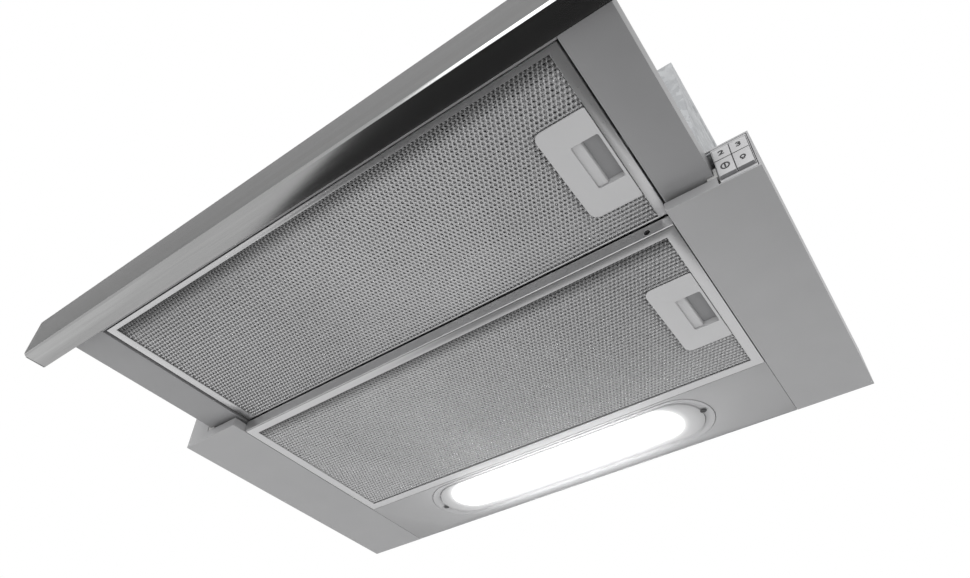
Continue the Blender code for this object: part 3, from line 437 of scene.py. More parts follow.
def lofted(loops, caps=True):
    """Closed loops of points joined by quads: with two end caps, or else from the last back to the first."""
    bm = bmesh.new()
    rings = [[bm.verts.new(point) for point in loop] for loop in loops]
    for a, b in zip(rings, rings[1:] + ([] if caps else rings[:1])):
        for i in range(len(a)):
            j = (i + 1) % len(a)
            bm.faces.new((a[i], a[j], b[j], b[i]))
    if caps:
        bm.faces.new(rings[0])
        bm.faces.new(rings[-1])
    bmesh.ops.recalc_face_normals(bm, faces=bm.faces)
    return edged(mesh_from(bm, "loft"))


def merged(*meshes):
    """One mesh from several that don't share points."""
    bm = bmesh.new()
    for mesh in meshes:
        bm.from_mesh(mesh)
    return mesh_from(bm, "merged")


def rides(obj, body):
    """The piece moves with a body and stands for no CAD node."""
    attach(obj, body)


def glowing_material(middle, bend_x):
    """A frosted cover: white hot along its middle and fading towards its rim."""
    material, tree, shader = new_material("frosted_cover")
    place = piece_place(tree)
    axes = node(tree, "ShaderNodeSeparateXYZ", {0: place}).outputs
    past = maths(tree, "SUBTRACT", maths(tree, "ABSOLUTE", axes["X"]), bend_x)
    off = {"X": maths(tree, "MAXIMUM", past, 0.0), "Y": maths(tree, "SUBTRACT", axes["Y"], middle)}
    both = node(tree, "ShaderNodeCombineXYZ", off).outputs[0]
    away = node(tree, "ShaderNodeVectorMath", {0: both}, operation="LENGTH").outputs["Value"]
    fade = remap(tree, away, (1.0, 0.004), (GLOW_CORE, GLOW_EDGE), "SMOOTHERSTEP")
    clear = remap(tree, away, (0.0, 1.0), (GLOW_CORE, COVER[0][0]), "SMOOTHSTEP")
    frost = node(tree, "ShaderNodeTexNoise", {"Vector": place, "Scale": 900.0})
    look = {
        "Base Color": blend(tree, clear, (0.80, 0.80, 0.80), (0.32, 0.32, 0.325)),
        "Emission Color": blend(tree, fade, (0, 0, 0), (1.0, 0.995, 0.985)),
        "Emission Strength": GLOW_STRENGTH,
        "Roughness": 0.22,
        "Normal": bumped(tree, frost.outputs["Fac"], 0.05),
    }
    feed(shader, look)
    return material


pale_plastic = grained("pale_grey_moulding", (0.31, 0.31, 0.315), 0.0, 0.42, 1800.0, spread=0.02, bump=0.05)
black_plastic = grained("black_moulding", (0.028, 0.028, 0.030), 0.0, 0.48, 1400.0, spread=0.10, bump=0.12)
tub_low, tub_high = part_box("lamp_bezel")
lens_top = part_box("lamp_lens")[1].z
panel_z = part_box("lamp_panel")[0].z
lamp_y = (tub_low.y + tub_high.y) / 2
lamp_bend = tub_high.x - (tub_high.y - tub_low.y) / 2
cover_bend = lamp_bend - END_MARGIN
dish_width = DISH[0][0] - DISH[-1][0]
rim = [
    stadium(lamp_y, lamp_bend - END_MARGIN * (DISH[0][0] - radius) / dish_width, radius, panel_z + z)
    for radius, z in DISH
]
inner_wall = stadium(lamp_y, cover_bend, DISH[-1][0], tub_high.z - WALL_GAP)
roof = stadium(lamp_y, lamp_bend, DISH[0][0], tub_high.z)
tub = link_object("lamp_tub", lofted([inner_wall, *reversed(rim), roof]), pale_plastic)
stands_for(tub, "lamp_bezel")
glow_y = lamp_y - GLOW_FORWARD
edge_top = stadium(lamp_y, cover_bend, COVER[0][0], lens_top)
cover_loops = [edge_top] + [stadium(lamp_y, cover_bend, radius, panel_z + z) for radius, z in COVER]
cover = link_object("lamp_cover", lofted(cover_loops), glowing_material(glow_y, lamp_bend - GLOW_END))
stands_for(cover, "lamp_lens")
under_cover = (0, glow_y, panel_z - SPILL_DROP)
spill = soft_box("lamp_spill", under_cover, (0, glow_y, panel_z), SPILL_LENGTH, SPILL_WATTS)
spill.data.shape = "RECTANGLE"
spill.data.size_y = SPILL_WIDTH
spill.rotation_euler = (math.pi, 0, 0)
spill.visible_camera = False
spill.visible_glossy = False
for name, side in (("left", -1), ("right", 1)):
    clip_x = side * (cover_bend + CLIP_REACH)
    clip_y = lamp_y - side * CLIP_SHIFT
    clip_loops = [
        [(clip_x + r * math.cos(a), clip_y + CLIP_SQUASH * r * math.sin(a), panel_z + z) for a in turns(12)]
        for r, z in CLIP_PROFILE
    ]
    rides(link_object(f"lamp_clip_{name}", lofted(clip_loops), black_plastic), "hood_body")
led_white = grained("led_board_white", (0.78, 0.79, 0.77), 0.0, 0.5, 900.0, spread=0.02)
frame["nodes"]["led_board"].data.materials[0] = led_white
softened("led_driver", pale_plastic, 0.0004)

# ---- Grease filters ----
# Two cassettes: a mitred aluminium rim folded round layers of expanded mesh, a moulded handle plate near
# the right end and a spring latch in its pocket. FILTERS says how the two differ.

FRONT_FOLD = 0.0009
RIM_WIDTH = 0.0035
# Name, fold in front, radius of the rim's edge, rim width at the rear, shade and open share of the mesh.
FILTERS = (
    ("rear", FRONT_FOLD, 0.0005, RIM_WIDTH, 0.57, 0.61),
    ("front", 0, 0.0010, 0.0010, 0.54, 0.52),
)
# Name, whether it is turned over, its distance from the lip below or above, and how coarse it is.
LAYERS = (("lower", True, 0.0006, 1.0), ("inner", True, 0.0021, 1.37), ("upper", False, 0.0004, 2.0))
SHEET_SPARE = (0.005, 0.0040)
PITCH_ACROSS = 0.0035
PITCH_ALONG = 0.00365
STRAND_RELIEF = 0.0006
DISH_DEPTH = 0.0005
STRAND_TILT = 0.58
STRAND_DEPTH = 0.0006
STRAND_WELD = 0.00002
SHADE_REACH = 0.017
SHADE_SHARE = 0.42
LIP = 0.0008
GROOVE = 0.0035
WEB = 0.0006
PACK_GAP = 0.0003
FOLD_SEAM = 0.0004
FOLD_CLEARANCE = 0.0004
FOLD_RADIUS = 0.0005
DRAIN_RADIUS = 0.0024
DRAIN_INSET = 0.0202
DRAIN_DEPTH = 0.008
DRILL_LEAD = 0.001
END_EDGE = 0.0003
WAD_RISE = 0.0042
WAD_DROP = 0.0026
PLATE_LENGTH = 0.0405
PLATE_HALF = 0.0431
PLATE_EDGE = 0.0007
PLATE_CORNERS = (0.001, 0.001, 0.006, 0.006)
POCKET_LENGTH = 0.0207
POCKET_HALF = 0.0205
HOLE_CORNERS = (0.0022,) * 4
TUB_CORNERS = (0.0020,) * 4
TUB_REACH = 0.0047
TUB_WALL = 0.0012
TUB_ROOF = 0.0010
TUB_OVERLAP = 0.0002
NOTCH_HALF = Vector((0.0168, 0.0240, 1))
NOTCH_SHIFT = 0.0082
RIDGE = 0.0083
LATCH_GAP = 0.0004
LATCH_SHEET = 0.0012
TONGUE_HALF = 0.005
TONGUE_OVERLAP = 0.0015
TONGUE_THICKNESS = 0.001
NEAR = 0.0001


def vector(tree, **axes):
    """A vector with these axes, and zero for the others."""
    return node(tree, "ShaderNodeCombineXYZ", axes).outputs[0]


def transformed(tree, geometry, **moves):
    """The geometry scaled, turned and moved."""
    return node(tree, "GeometryNodeTransform", {"Geometry": geometry, **moves}).outputs[0]


def repeated(tree, points, instance, rotation=(0, 0, 0)):
    """Real copies of a piece on points."""
    inputs = {"Points": points, "Instance": instance, "Rotation": rotation}
    copies = node(tree, "GeometryNodeInstanceOnPoints", inputs)
    return node(tree, "GeometryNodeRealizeInstances", {"Geometry": copies.outputs[0]}).outputs[0]


def put_out(tree, geometry, material):
    """Gives geometry its material and puts it out of its tree."""
    painted = node(tree, "GeometryNodeSetMaterial", {"Geometry": geometry, "Material": material})
    node(tree, "NodeGroupOutput", {0: painted.outputs[0]})
    return tree


def geometry_group(name, **kinds):
    """A geometry tree with its input sockets listed by kind, and what its input node gives."""
    inputs = {"Geometry": "Geometry", "Material": "Material"}
    inputs.update({socket: kind for kind, sockets in kinds.items() for socket in sockets})
    return blank_group(name, "Geometry", inputs, {"Geometry": "Geometry"})


def expanded_metal_tree():
    """A sheet of six-sided meshes in staggered rows, each dished round its hole, with a notch left open."""
    tree, given = geometry_group(
        "expanded_metal",
        Vector=("Size", "Centre", "Turn", "Notch Centre", "Notch Half"),
        Float=("Pitch Across", "Pitch Along", "Hole Share", "Relief", "Dish", "Tilt", "Depth"),
    )
    add = partial(node, tree)
    calc = partial(maths, tree)

    def shifted(geometry, offset, chosen=True):
        moves = {"Geometry": geometry, "Selection": chosen, "Offset": offset}
        return add("GeometryNodeSetPosition", moves).outputs[0]

    size = add("ShaderNodeSeparateXYZ", {0: given["Size"]}).outputs
    columns = calc("FLOOR", calc("DIVIDE", size["X"], given["Pitch Across"]))
    rows = calc("FLOOR", calc("DIVIDE", size["Y"], given["Pitch Along"]))
    spans = {
        "Size X": calc("MULTIPLY", calc("SUBTRACT", columns, 1.0), given["Pitch Across"]),
        "Size Y": calc("MULTIPLY", calc("SUBTRACT", rows, 1.0), given["Pitch Along"]),
        "Vertices X": columns,
        "Vertices Y": rows,
    }
    points = add("GeometryNodeMeshGrid", spans).outputs["Mesh"]
    index = add("GeometryNodeInputIndex").outputs[0]
    odd = calc("MODULO", calc("MODULO", index, rows), 2.0)
    shift = calc("MULTIPLY", calc("SUBTRACT", odd, 0.5), calc("MULTIPLY", given["Pitch Across"], 0.5))
    staggered = shifted(points, vector(tree, X=shift))
    place = add("GeometryNodeInputPosition").outputs[0]
    off = vector_maths(tree, "ABSOLUTE", vector_maths(tree, "SUBTRACT", place, given["Notch Centre"]))
    spare = vector_maths(tree, "SUBTRACT", given["Notch Half"], off)
    spare = add("ShaderNodeSeparateXYZ", {0: spare}).outputs
    in_notch = calc("GREATER_THAN", calc("MINIMUM", spare["X"], spare["Y"]), 0.0)
    kept = add("GeometryNodeDeleteGeometry", {"Geometry": staggered, "Selection": in_notch}).outputs[0]

    cell = add("GeometryNodeMeshCircle", {"Vertices": 6, "Radius": 1.0}, fill_type="NGON").outputs[0]
    half_width = calc("DIVIDE", given["Pitch Across"], math.sqrt(3))
    half_length = calc("MULTIPLY", given["Pitch Along"], 2 / 3)
    turned = transformed(tree, cell, Rotation=(0, 0, math.radians(30)))
    sized = transformed(tree, turned, Scale=vector(tree, X=half_width, Y=half_length, Z=1.0))
    raised = calc("MULTIPLY", calc("MODULO", index, 2.0), given["Relief"])
    woven = shifted(sized, vector(tree, Z=raised))
    lip = add("GeometryNodeExtrudeMesh", {"Mesh": woven, "Offset Scale": 0.0}, mode="FACES").outputs
    shrink = {"Geometry": lip["Mesh"], "Selection": lip["Top"], "Scale": given["Hole Share"]}
    hole = add("GeometryNodeScaleElements", shrink).outputs[0]
    along = add("ShaderNodeSeparateXYZ", {0: place}).outputs["Y"]
    sink = calc("SUBTRACT", calc("MULTIPLY", along, given["Tilt"]), given["Dish"])
    dished = shifted(hole, vector(tree, Z=sink), lip["Top"])
    drop = {"Mesh": dished, "Selection": lip["Top"], "Offset Scale": calc("MULTIPLY", given["Depth"], -1.0)}
    wall = add("GeometryNodeExtrudeMesh", drop, mode="FACES").outputs
    floor = {"Geometry": wall["Mesh"], "Selection": wall["Top"]}
    opened = add("GeometryNodeDeleteGeometry", floor, domain="FACE").outputs[0]
    sheet = {"Geometry": repeated(tree, kept, opened), "Distance": STRAND_WELD}
    joined = add("GeometryNodeMergeByDistance", sheet).outputs[0]
    moved = transformed(tree, joined, Translation=given["Centre"], Rotation=given["Turn"])
    flat = add("GeometryNodeSetShadeSmooth", {"Geometry": moved, "Shade Smooth": False}).outputs[0]
    return put_out(tree, flat, given["Material"])


def grown(tree, name, mesh=None, **inputs):
    """A plain mesh object made by a geometry tree from its named inputs, and from a mesh to start with."""
    obj = link_object(name, mesh or bpy.data.meshes.new(name))
    modifier = obj.modifiers.new("growth", "NODES")
    modifier.node_group = tree
    sockets = {item.name: item.identifier for item in tree.interface.items_tree if item.in_out == "INPUT"}
    for key, value in inputs.items():
        modifier[sockets[key.replace("_", " ").title()]] = value
    return made_plain(obj)


def rim_loop(low, high, rims, share, inset, z):
    """A rectangle round a cassette, at a share of each side's rim plus an inset."""
    left, right, front, rear = rims
    x = (low.x + share * left + inset, high.x - share * right - inset)
    y = (low.y + share * front + inset, high.y - share * rear - inset)
    return [(x[0], y[0], z), (x[1], y[0], z), (x[1], y[1], z), (x[0], y[1], z)]


def cassette_rim(low, high, rims, groove, radius):
    """The folded rim: flat soles top and bottom, a web outside and a groove inside that holds the mesh."""
    bottom, top = low.z, high.z
    profile = [
        (0, radius, bottom), (0, 0.3 * radius, bottom + 0.3 * radius), (0, 0, bottom + radius),
        (0, 0, top - radius), (0, radius, top),
        (1, -0.0002, top), (1, 0, top - 0.0002), (1, 0, top - LIP),
        (1, -groove, top - LIP), (1, -groove, bottom + LIP), (1, 0, bottom + LIP),
        (1, 0, bottom + 0.0003), (1, -0.0003, bottom),
    ]
    return lofted([rim_loop(low, high, rims, *point) for point in profile], caps=False)


def drained(mesh, centre):
    """The mesh with the round drain hole drilled into it along Y."""
    circle = [(DRAIN_RADIUS * math.cos(a), DRAIN_RADIUS * math.sin(a)) for a in turns(24)]
    ends = (centre.y - DRILL_LEAD, centre.y + DRAIN_DEPTH)
    loops = [[(centre.x + x, y, centre.z + z) for x, z in circle] for y in ends]
    drill = link_object("drill", lofted(loops))
    piece = link_object("bored", mesh)
    bore = piece.modifiers.new("bore", "BOOLEAN")
    bore.object = drill
    bore.operation = "DIFFERENCE"
    bore.solver = "EXACT"
    drilled = made_plain(piece).data
    for obj in (drill, piece):
        bpy.data.objects.remove(obj)
    return drilled


def painted_rim_shade(material, edge_y):
    """Darkens the strands next to a cassette's front rim: painted shade, where the rim shadows the recessed
    mesh.
    """
    tree = material.node_tree
    base = tree.nodes["Principled BSDF"].inputs["Base Color"]
    along = node(tree, "ShaderNodeSeparateXYZ", {0: piece_place(tree)}).outputs["Y"]
    unshaded = remap(tree, along, (SHADE_SHARE, 1.0), (edge_y, edge_y + SHADE_REACH), "SMOOTHSTEP")
    tree.links.new(vector_maths(tree, "MULTIPLY", base.links[0].from_socket, unshaded), base)
    return material


def rounded(x, y, radii, z, steps=6):
    """A rectangle with round corners, from the front right corner onwards: x and y are (low, high)."""
    corners = ((x[1], y[0], -90), (x[1], y[1], 0), (x[0], y[1], 90), (x[0], y[0], 180))
    points = []
    for (cx, cy, start), radius in zip(corners, radii):
        mx = cx - math.copysign(radius, cx - sum(x) / 2)
        my = cy - math.copysign(radius, cy - sum(y) / 2)
        for i in range(steps + 1):
            a = math.radians(start + 90 * i / steps)
            points.append((mx + radius * math.cos(a), my + radius * math.sin(a), z))
    return points


def grow_span(span, margin):
    """A (low, high) span made longer at both ends."""
    return (span[0] - margin, span[1] + margin)


def filled_curve(loops):
    """A flat curve filled between closed loops of points, whose heights are left out."""
    curve = bpy.data.curves.new("filled", "CURVE")
    curve.dimensions = "2D"
    curve.fill_mode = "BOTH"
    for loop in loops:
        spline = curve.splines.new("POLY")
        spline.points.add(len(loop) - 1)
        for point, place in zip(spline.points, loop):
            point.co = (place[0], place[1], 0, 1)
        spline.use_cyclic_u = True
    return curve


def curve_mesh(curve):
    """The mesh that a curve makes."""
    obj = link_object("curve", curve)
    mesh = evaluated_mesh(obj)
    bpy.data.objects.remove(obj)
    return mesh


def plate_with_hole(outline, hole, low_z, high_z):
    """A flat plate between two outlines, with its edges rounded."""
    curve = filled_curve((outline, hole))
    curve.extrude = (high_z - low_z) / 2 - PLATE_EDGE
    curve.bevel_depth = PLATE_EDGE
    curve.bevel_resolution = 2
    mesh = curve_mesh(curve)
    mesh.transform(Matrix.Translation((0, 0, (low_z + high_z) / 2)))
    bm = bmesh.new()
    bm.from_mesh(mesh)
    bmesh.ops.remove_doubles(bm, verts=bm.verts, dist=WELD)
    bmesh.ops.recalc_face_normals(bm, faces=bm.faces)
    return edged(mesh_from(bm, "plate"), 30)


def extruded(section, start, end):
    """An outline of (x, z) pulled along Y, with its two ends slightly rounded."""
    middle_x = sum(x for x, _ in section) / len(section)
    middle_z = sum(z for _, z in section) / len(section)

    def ring(y, inset):
        loop = []
        for x, z in section:
            away = Vector((x - middle_x, z - middle_z))
            away *= max(0, away.length - inset) / max(away.length, 1e-9)
            loop.append((middle_x + away.x, y, middle_z + away.y))
        return loop

    ends = ((start, END_EDGE), (start + END_EDGE, 0), (end - END_EDGE, 0), (end, END_EDGE))
    return lofted([ring(y, inset) for y, inset in ends])


def finished(name, mesh, *finishes):
    """An object whose faces choose between finishes by their index."""
    obj = link_object(name, mesh)
    for finish in finishes:
        mesh.materials.append(finish)
    return obj


expanded_metal = expanded_metal_tree()
grip_plastic = grained("grip_grey_moulding", (0.465, 0.465, 0.47), 0.0, 0.40, 1800.0, spread=0.02, bump=0.05)
rim_aluminium = grained("rolled_aluminium_rim", (0.60, 0.60, 0.605), 0.85, 0.30, 1100.0, spread=0.03)
# The inner mesh layers are real, but their dark grey is painted shade: the shade deep inside the pack.
packing_in_painted_shade = grained("inner_mesh_layers_painted_shade", (0.16, 0.16, 0.16), 0.4, 0.60, 420.0, spread=0.35, bump=0.4)
# Painted shade: a darker copy of the grip's grey for the pocket's walls and floor, where shade falls.
shaded_plastic = grained("recess_painted_shade_moulding", (0.24, 0.24, 0.245), 0, 0.5, 1600, spread=0.03, bump=0.05)
for prefix, fold, edge_radius, rear_width, shade, hole_share in FILTERS:
    body = f"{prefix}_filter"
    low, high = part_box(f"{body}_frame")
    pack_low, pack_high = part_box(f"{body}_mesh")
    opening_x = (pack_low.x - PACK_GAP + RIM_WIDTH, pack_high.x + PACK_GAP - RIM_WIDTH)
    opening_y = (pack_low.y - PACK_GAP + RIM_WIDTH, pack_high.y + PACK_GAP - rear_width)
    rim_low = low + Vector((0, fold + FOLD_SEAM if fold else 0, 0))
    rims = (opening_x[0] - low.x, high.x - opening_x[1], opening_y[0] - rim_low.y, high.y - opening_y[1])
    groove = min(GROOVE, high.y - opening_y[1] - WEB)
    rim_mesh = cassette_rim(rim_low, high, rims, groove, edge_radius)
    if fold:
        fold_y = (low.y, low.y + fold)
        fold_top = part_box("front_filter_handle")[0].z - FOLD_CLEARANCE
        fold_section = [
            (fold_y[0] + FOLD_RADIUS, low.z), (fold_y[1] - FOLD_RADIUS, low.z),
            (fold_y[1], low.z + FOLD_RADIUS), (fold_y[1], fold_top),
            (fold_y[0], fold_top), (fold_y[0], low.z + FOLD_RADIUS),
        ]
        strip = extruded(fold_section, low.x, high.x)
        strip.transform(Matrix(((0, 1, 0, 0), (1, 0, 0, 0), (0, 0, 1, 0), (0, 0, 0, 1))))
        strip.flip_normals()
        drain_at = Vector((high.x - DRAIN_INSET, low.y, (low.z + high.z) / 2))
        rim_mesh = edged(drained(merged(rim_mesh, strip), drain_at))
        rim_mesh.materials.clear()
        # Painted shadow: the walls of the drilled drain hole take the black moulding, for the shade inside
        # the hole.
        for face in rim_mesh.polygons:
            reach = math.hypot(face.center.x - drain_at.x, face.center.z - drain_at.z)
            face.material_index = int(reach < DRAIN_RADIUS * 1.02 and face.center.y < low.y + DRAIN_DEPTH)
    finishes = (rim_aluminium, black_plastic) if fold else (rim_aluminium,)
    cassette = finished(f"{body}_rim", rim_mesh, *finishes)
    stands_for(cassette, f"{body}_frame")

    handle_low, handle_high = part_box(f"{body}_handle")
    latch_low, latch_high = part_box(f"{body}_latch")
    handle_y = (handle_low.y + handle_high.y) / 2
    pocket_x = (latch_low.x - PACK_GAP, latch_low.x + POCKET_LENGTH)
    notch_centre = Vector((pocket_x[0] + NOTCH_SHIFT, handle_y, 0))
    sheet_middle = Vector((sum(opening_x) / 2, sum(opening_y) / 2, 0))
    spare_x, spare_y = SHEET_SPARE
    sheet_size = Vector((opening_x[1] - opening_x[0] + spare_x, opening_y[1] - opening_y[0] + spare_y, 0))
    notch_local = notch_centre - sheet_middle
    metal = (shade, shade, shade + 0.005)
    strands = grained(f"{prefix}_strands", metal, 0.85, 0.28, 700.0, spread=0.10, bump=0.05)
    # Painted shade: the strands darken towards the front rim, as if in the rim's shadow.
    strand_aluminium = painted_rim_shade(strands, opening_y[0])
    for layer, turned_over, gap, coarse in LAYERS:
        z = low.z + LIP + gap if turned_over else high.z - LIP - gap
        flip = -1 if turned_over else 1
        sheet = grown(
            expanded_metal,
            f"{prefix}_mesh_{layer}",
            size=sheet_size,
            centre=Vector((sheet_middle.x, sheet_middle.y, z)),
            turn=(math.pi if turned_over else 0.0, 0, 0),
            pitch_across=PITCH_ACROSS * coarse,
            pitch_along=PITCH_ALONG * coarse,
            hole_share=hole_share,
            relief=STRAND_RELIEF,
            dish=DISH_DEPTH,
            tilt=STRAND_TILT,
            depth=STRAND_DEPTH,
            notch_centre=Vector((notch_local.x, flip * notch_local.y, 0)),
            notch_half=NOTCH_HALF,
            material=strand_aluminium,
        )
        if layer == "lower":
            stands_for(sheet, f"{body}_mesh")
        else:
            rides(sheet, body)
    notch_x = notch_centre.x - NOTCH_HALF.x
    notch_y = (handle_y - NOTCH_HALF.y, handle_y + NOTCH_HALF.y)
    wad_outline = [
        (pack_low.x, pack_low.y), (pack_high.x, pack_low.y), (pack_high.x, notch_y[0]),
        (notch_x, notch_y[0]), (notch_x, notch_y[1]),
        (pack_high.x, notch_y[1]), (pack_high.x, pack_high.y), (pack_low.x, pack_high.y),
    ]
    wad_loops = [[(x, y, z) for x, y in wad_outline] for z in (low.z + WAD_RISE, high.z - WAD_DROP)]
    # The wad stands for the inner mesh layers; its dark grey is painted shade.
    wad = link_object(f"{prefix}_mesh_wad", lofted(wad_loops), packing_in_painted_shade)
    rides(wad, body)

    plate_x = (handle_high.x - PLATE_LENGTH, handle_high.x)
    plate_y = (handle_y - PLATE_HALF, handle_y + PLATE_HALF)
    plate_top = low.z + LIP
    pocket_y = (handle_y - POCKET_HALF, handle_y + POCKET_HALF)
    outline = rounded(grow_span(plate_x, -PLATE_EDGE), grow_span(plate_y, -PLATE_EDGE), PLATE_CORNERS, 0)
    hole = rounded(grow_span(pocket_x, PLATE_EDGE), grow_span(pocket_y, PLATE_EDGE), HOLE_CORNERS, 0)
    plate = plate_with_hole(outline, hole, handle_low.z, plate_top)
    roof_z = handle_high.z - TUB_ROOF
    room_x = (pocket_x[0] - TUB_REACH, pocket_x[1])
    outside = (grow_span(room_x, TUB_WALL), grow_span(pocket_y, TUB_WALL))
    tub_mesh = lofted([
        rounded(room_x, pocket_y, TUB_CORNERS, roof_z),
        rounded(room_x, pocket_y, TUB_CORNERS, plate_top - TUB_OVERLAP),
        rounded(*outside, TUB_CORNERS, plate_top - TUB_OVERLAP),
        rounded(*outside, TUB_CORNERS, handle_high.z),
    ])
    # Painted shade: the pocket's walls take the darker grey, except the end wall that faces the front light.
    for face in tub_mesh.polygons:
        middle = face.center
        within = room_x[0] - NEAR < middle.x < room_x[1] + NEAR and middle.z < roof_z + NEAR
        beside = abs(middle.y - handle_y) < POCKET_HALF + NEAR and face.normal.y > -0.5
        face.material_index = int(within and beside)
    handle_mesh = edged(merged(plate, tub_mesh), 32)
    handle = finished(f"{body}_grip_plate", handle_mesh, grip_plastic, shaded_plastic)
    stands_for(handle, f"{body}_handle")

    x0, bottom, top = pocket_x[0] - LATCH_GAP, latch_low.z, latch_high.z
    crest = x0 + RIDGE
    floor_z = top - LATCH_SHEET
    section = [
        (x0, top), (x0, bottom), (crest - 0.0036, bottom), (crest - 0.0022, bottom - 0.0002),
        (crest - 0.0010, bottom - 0.0002), (crest - 0.0003, bottom + 0.0002), (crest, bottom + 0.0010),
        (crest + 0.0002, floor_z - 0.0010), (crest + 0.0006, floor_z - 0.0003), (crest + 0.0013, floor_z),
        (pocket_x[1] - 0.0003, floor_z), (pocket_x[1] - 0.0003, top),
    ]
    slider = extruded(section, latch_low.y, latch_high.y)
    # Painted shade: the latch's floor past its ridge takes the darker grey of the pocket.
    for face in slider.polygons:
        face.material_index = int(face.center.x > crest + 0.0003)
    tongue_x = (pocket_x[1] - TONGUE_OVERLAP, latch_high.x)
    tongue_y = (handle_y - TONGUE_HALF, handle_y + TONGUE_HALF)
    tongue_z = (top + floor_z) / 2
    tongue = lofted([
        rounded(tongue_x, tongue_y, (0.0008,) * 4, z, steps=2)
        for z in (tongue_z - TONGUE_THICKNESS / 2, tongue_z + TONGUE_THICKNESS / 2)
    ])
    latch_mesh = edged(merged(slider, tongue), 32)
    latch = finished(f"{body}_latch_slider", latch_mesh, grip_plastic, shaded_plastic)
    stands_for(latch, f"{body}_latch")

# ---- Keys ----
# A moulded frame in the right cheek with four push keys: 2 and 3 above, 1 and the lamp below. Their
# marks are printed in dark ink.

INK = 0.00008
INK_SINK = 0.00006
STROKE = 0.00056
CAPITAL_SHARE = 0.70
NUMBER_HEIGHT = 0.0060
RINGED_HEIGHT = 0.0036
RING_RADIUS = 0.0029
LAMP_RADIUS = 0.0016
LAMP_RISE = 0.0004
FOOT_RADIUS = 0.0008
FOOT_SQUEEZE = 0.25
FOOT_Y = -0.0021
KEY_PROUD = 0.0002


def number(text, height):
    """A number, with its strokes thickened."""
    curve = bpy.data.curves.new("number", "FONT")
    curve.body = text
    curve.size = height / CAPITAL_SHARE
    curve.align_x = "CENTER"
    curve.align_y = "CENTER"
    curve.offset = STROKE * 0.6
    return curve


def stroked(*paths):
    """Strokes of even width along closed paths of (x, y)."""
    loops = []
    for path in paths:
        ring = [Vector(point) for point in path]
        middle = sum(ring, Vector((0, 0))) / len(ring)
        for side in (-1, 1):
            loops.append([place + (place - middle).normalized() * side * STROKE for place in ring])
    return filled_curve(loops)


def ring_path(radius, steps=28, lift=0.0):
    """A circle of (x, y)."""
    return [(radius * math.cos(a), lift + radius * math.sin(a)) for a in turns(steps)]


ink = grained("printed_ink", (0.020, 0.020, 0.022), 0.0, 0.5, 900.0, spread=0.08)
key_plastic = grained("key_moulding", (0.405, 0.405, 0.41), 0.0, 0.38, 1900.0, spread=0.015, bump=0.04)
key_shadow = grained("key_underside_painted_shadow", (0.15, 0.15, 0.155), 0.0, 0.5, 1600.0, spread=0.03, bump=0.05)
softened("control_module", key_plastic, 0.0002)
lamp_foot = [(x, FOOT_Y + y * FOOT_SQUEEZE) for x, y in ring_path(FOOT_RADIUS, steps=8)]
marks = {
    "key_speed_1": [number("1", RINGED_HEIGHT), stroked(ring_path(RING_RADIUS))],
    "key_speed_2": [number("2", NUMBER_HEIGHT)],
    "key_speed_3": [number("3", NUMBER_HEIGHT)],
    "key_light": [stroked(ring_path(LAMP_RADIUS, lift=LAMP_RISE), lamp_foot)],
}
front_of_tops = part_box("side_panel_right")[0].y - KEY_PROUD
for key_node, shapes in marks.items():
    key_low, key_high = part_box(key_node)
    cap = softened(key_node, key_plastic, 0.0001)
    cap.data.materials.append(key_shadow)
    # Painted shadow: the faces that look down take a near-black grey instead of the key's own grey.
    for face in cap.data.polygons:
        face.material_index = int(face.normal.z < -0.8)
    upper = key_node in ("key_speed_2", "key_speed_3")
    lean = math.atan((front_of_tops - key_low.y) / (key_high.z - key_low.z)) if upper else 0.0
    middle = (key_low + key_high) / 2
    middle.y = ((key_low.y + front_of_tops) / 2 if upper else key_low.y) - INK_SINK
    for curve in shapes:
        curve.extrude = INK / 2
    printed = merged(*(curve_mesh(curve) for curve in shapes))
    printed.transform(Matrix.Translation(middle) @ Matrix.Rotation(math.radians(90) - lean, 4, "X"))
    mark = link_object(f"{key_node}_mark", printed, ink)
    rides(mark, frame["nodes"][key_node]["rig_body"])

# ---- Runners, glides and switch ----
# Nylon blocks and shoes that the visor slides on, in zinc-plated channels, and the switch that the
# visor presses when it is home.

nylon = grained("white_nylon", (0.33, 0.33, 0.325), 0.0, 0.30, 700.0, spread=0.02, bump=0.04)
zinc = grained("zinc_plate", (0.52, 0.53, 0.54), 0.9, 0.36, 800.0, spread=0.06, bump=0.05)
for side in ("left", "right"):
    softened(f"front_glide_{side}", nylon, 0.0006)
    softened(f"visor_shoe_{side}", nylon, 0.0008)
    softened(f"rail_{side}", zinc, 0.0003)
softened("microswitch", black_plastic, 0.0005)
softened("microswitch_plunger", nylon, 0.0005)

# ---- Fan ----
# A galvanised scroll with a side plate on each side, a squirrel-cage wheel whose curved blades are
# crimped between two rims and a hub disc, and an enamelled motor on a strap over the left inlet.

BLADES = 38
BLADE_CHORD = 0.0086
BLADE_SHEET = 0.0006
BLADE_SWEEP = math.radians(62)
BLADE_BITE = 0.001
RIM_DEPTH = 0.0040
RIM_SHEET = 0.0012
HUB = (0.0020, 0.0060)
HUB_WEB = HUB[0] + 0.0016
MOTOR_GAP = 0.0063
COOLING_RIBS = 5
RIB_PITCH = 0.0090


def circle_x(centre, radius, x):
    """A circle about the X axis through a centre."""
    return [(x, centre.y + radius * math.cos(a), centre.z + radius * math.sin(a)) for a in turns(48)]


def round_box(cad_node, across):
    """The two corners of a round CAD node's box, its middle, and its radius along one axis."""
    low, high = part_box(cad_node)
    return low, high, (low + high) / 2, (high[across] - low[across]) / 2


def lathed(circle, centre, section, caps=True):
    """A turned shape: its section is a list of radius and place along the axis, step by step."""
    return lofted([circle(centre, *step) for step in section], caps)


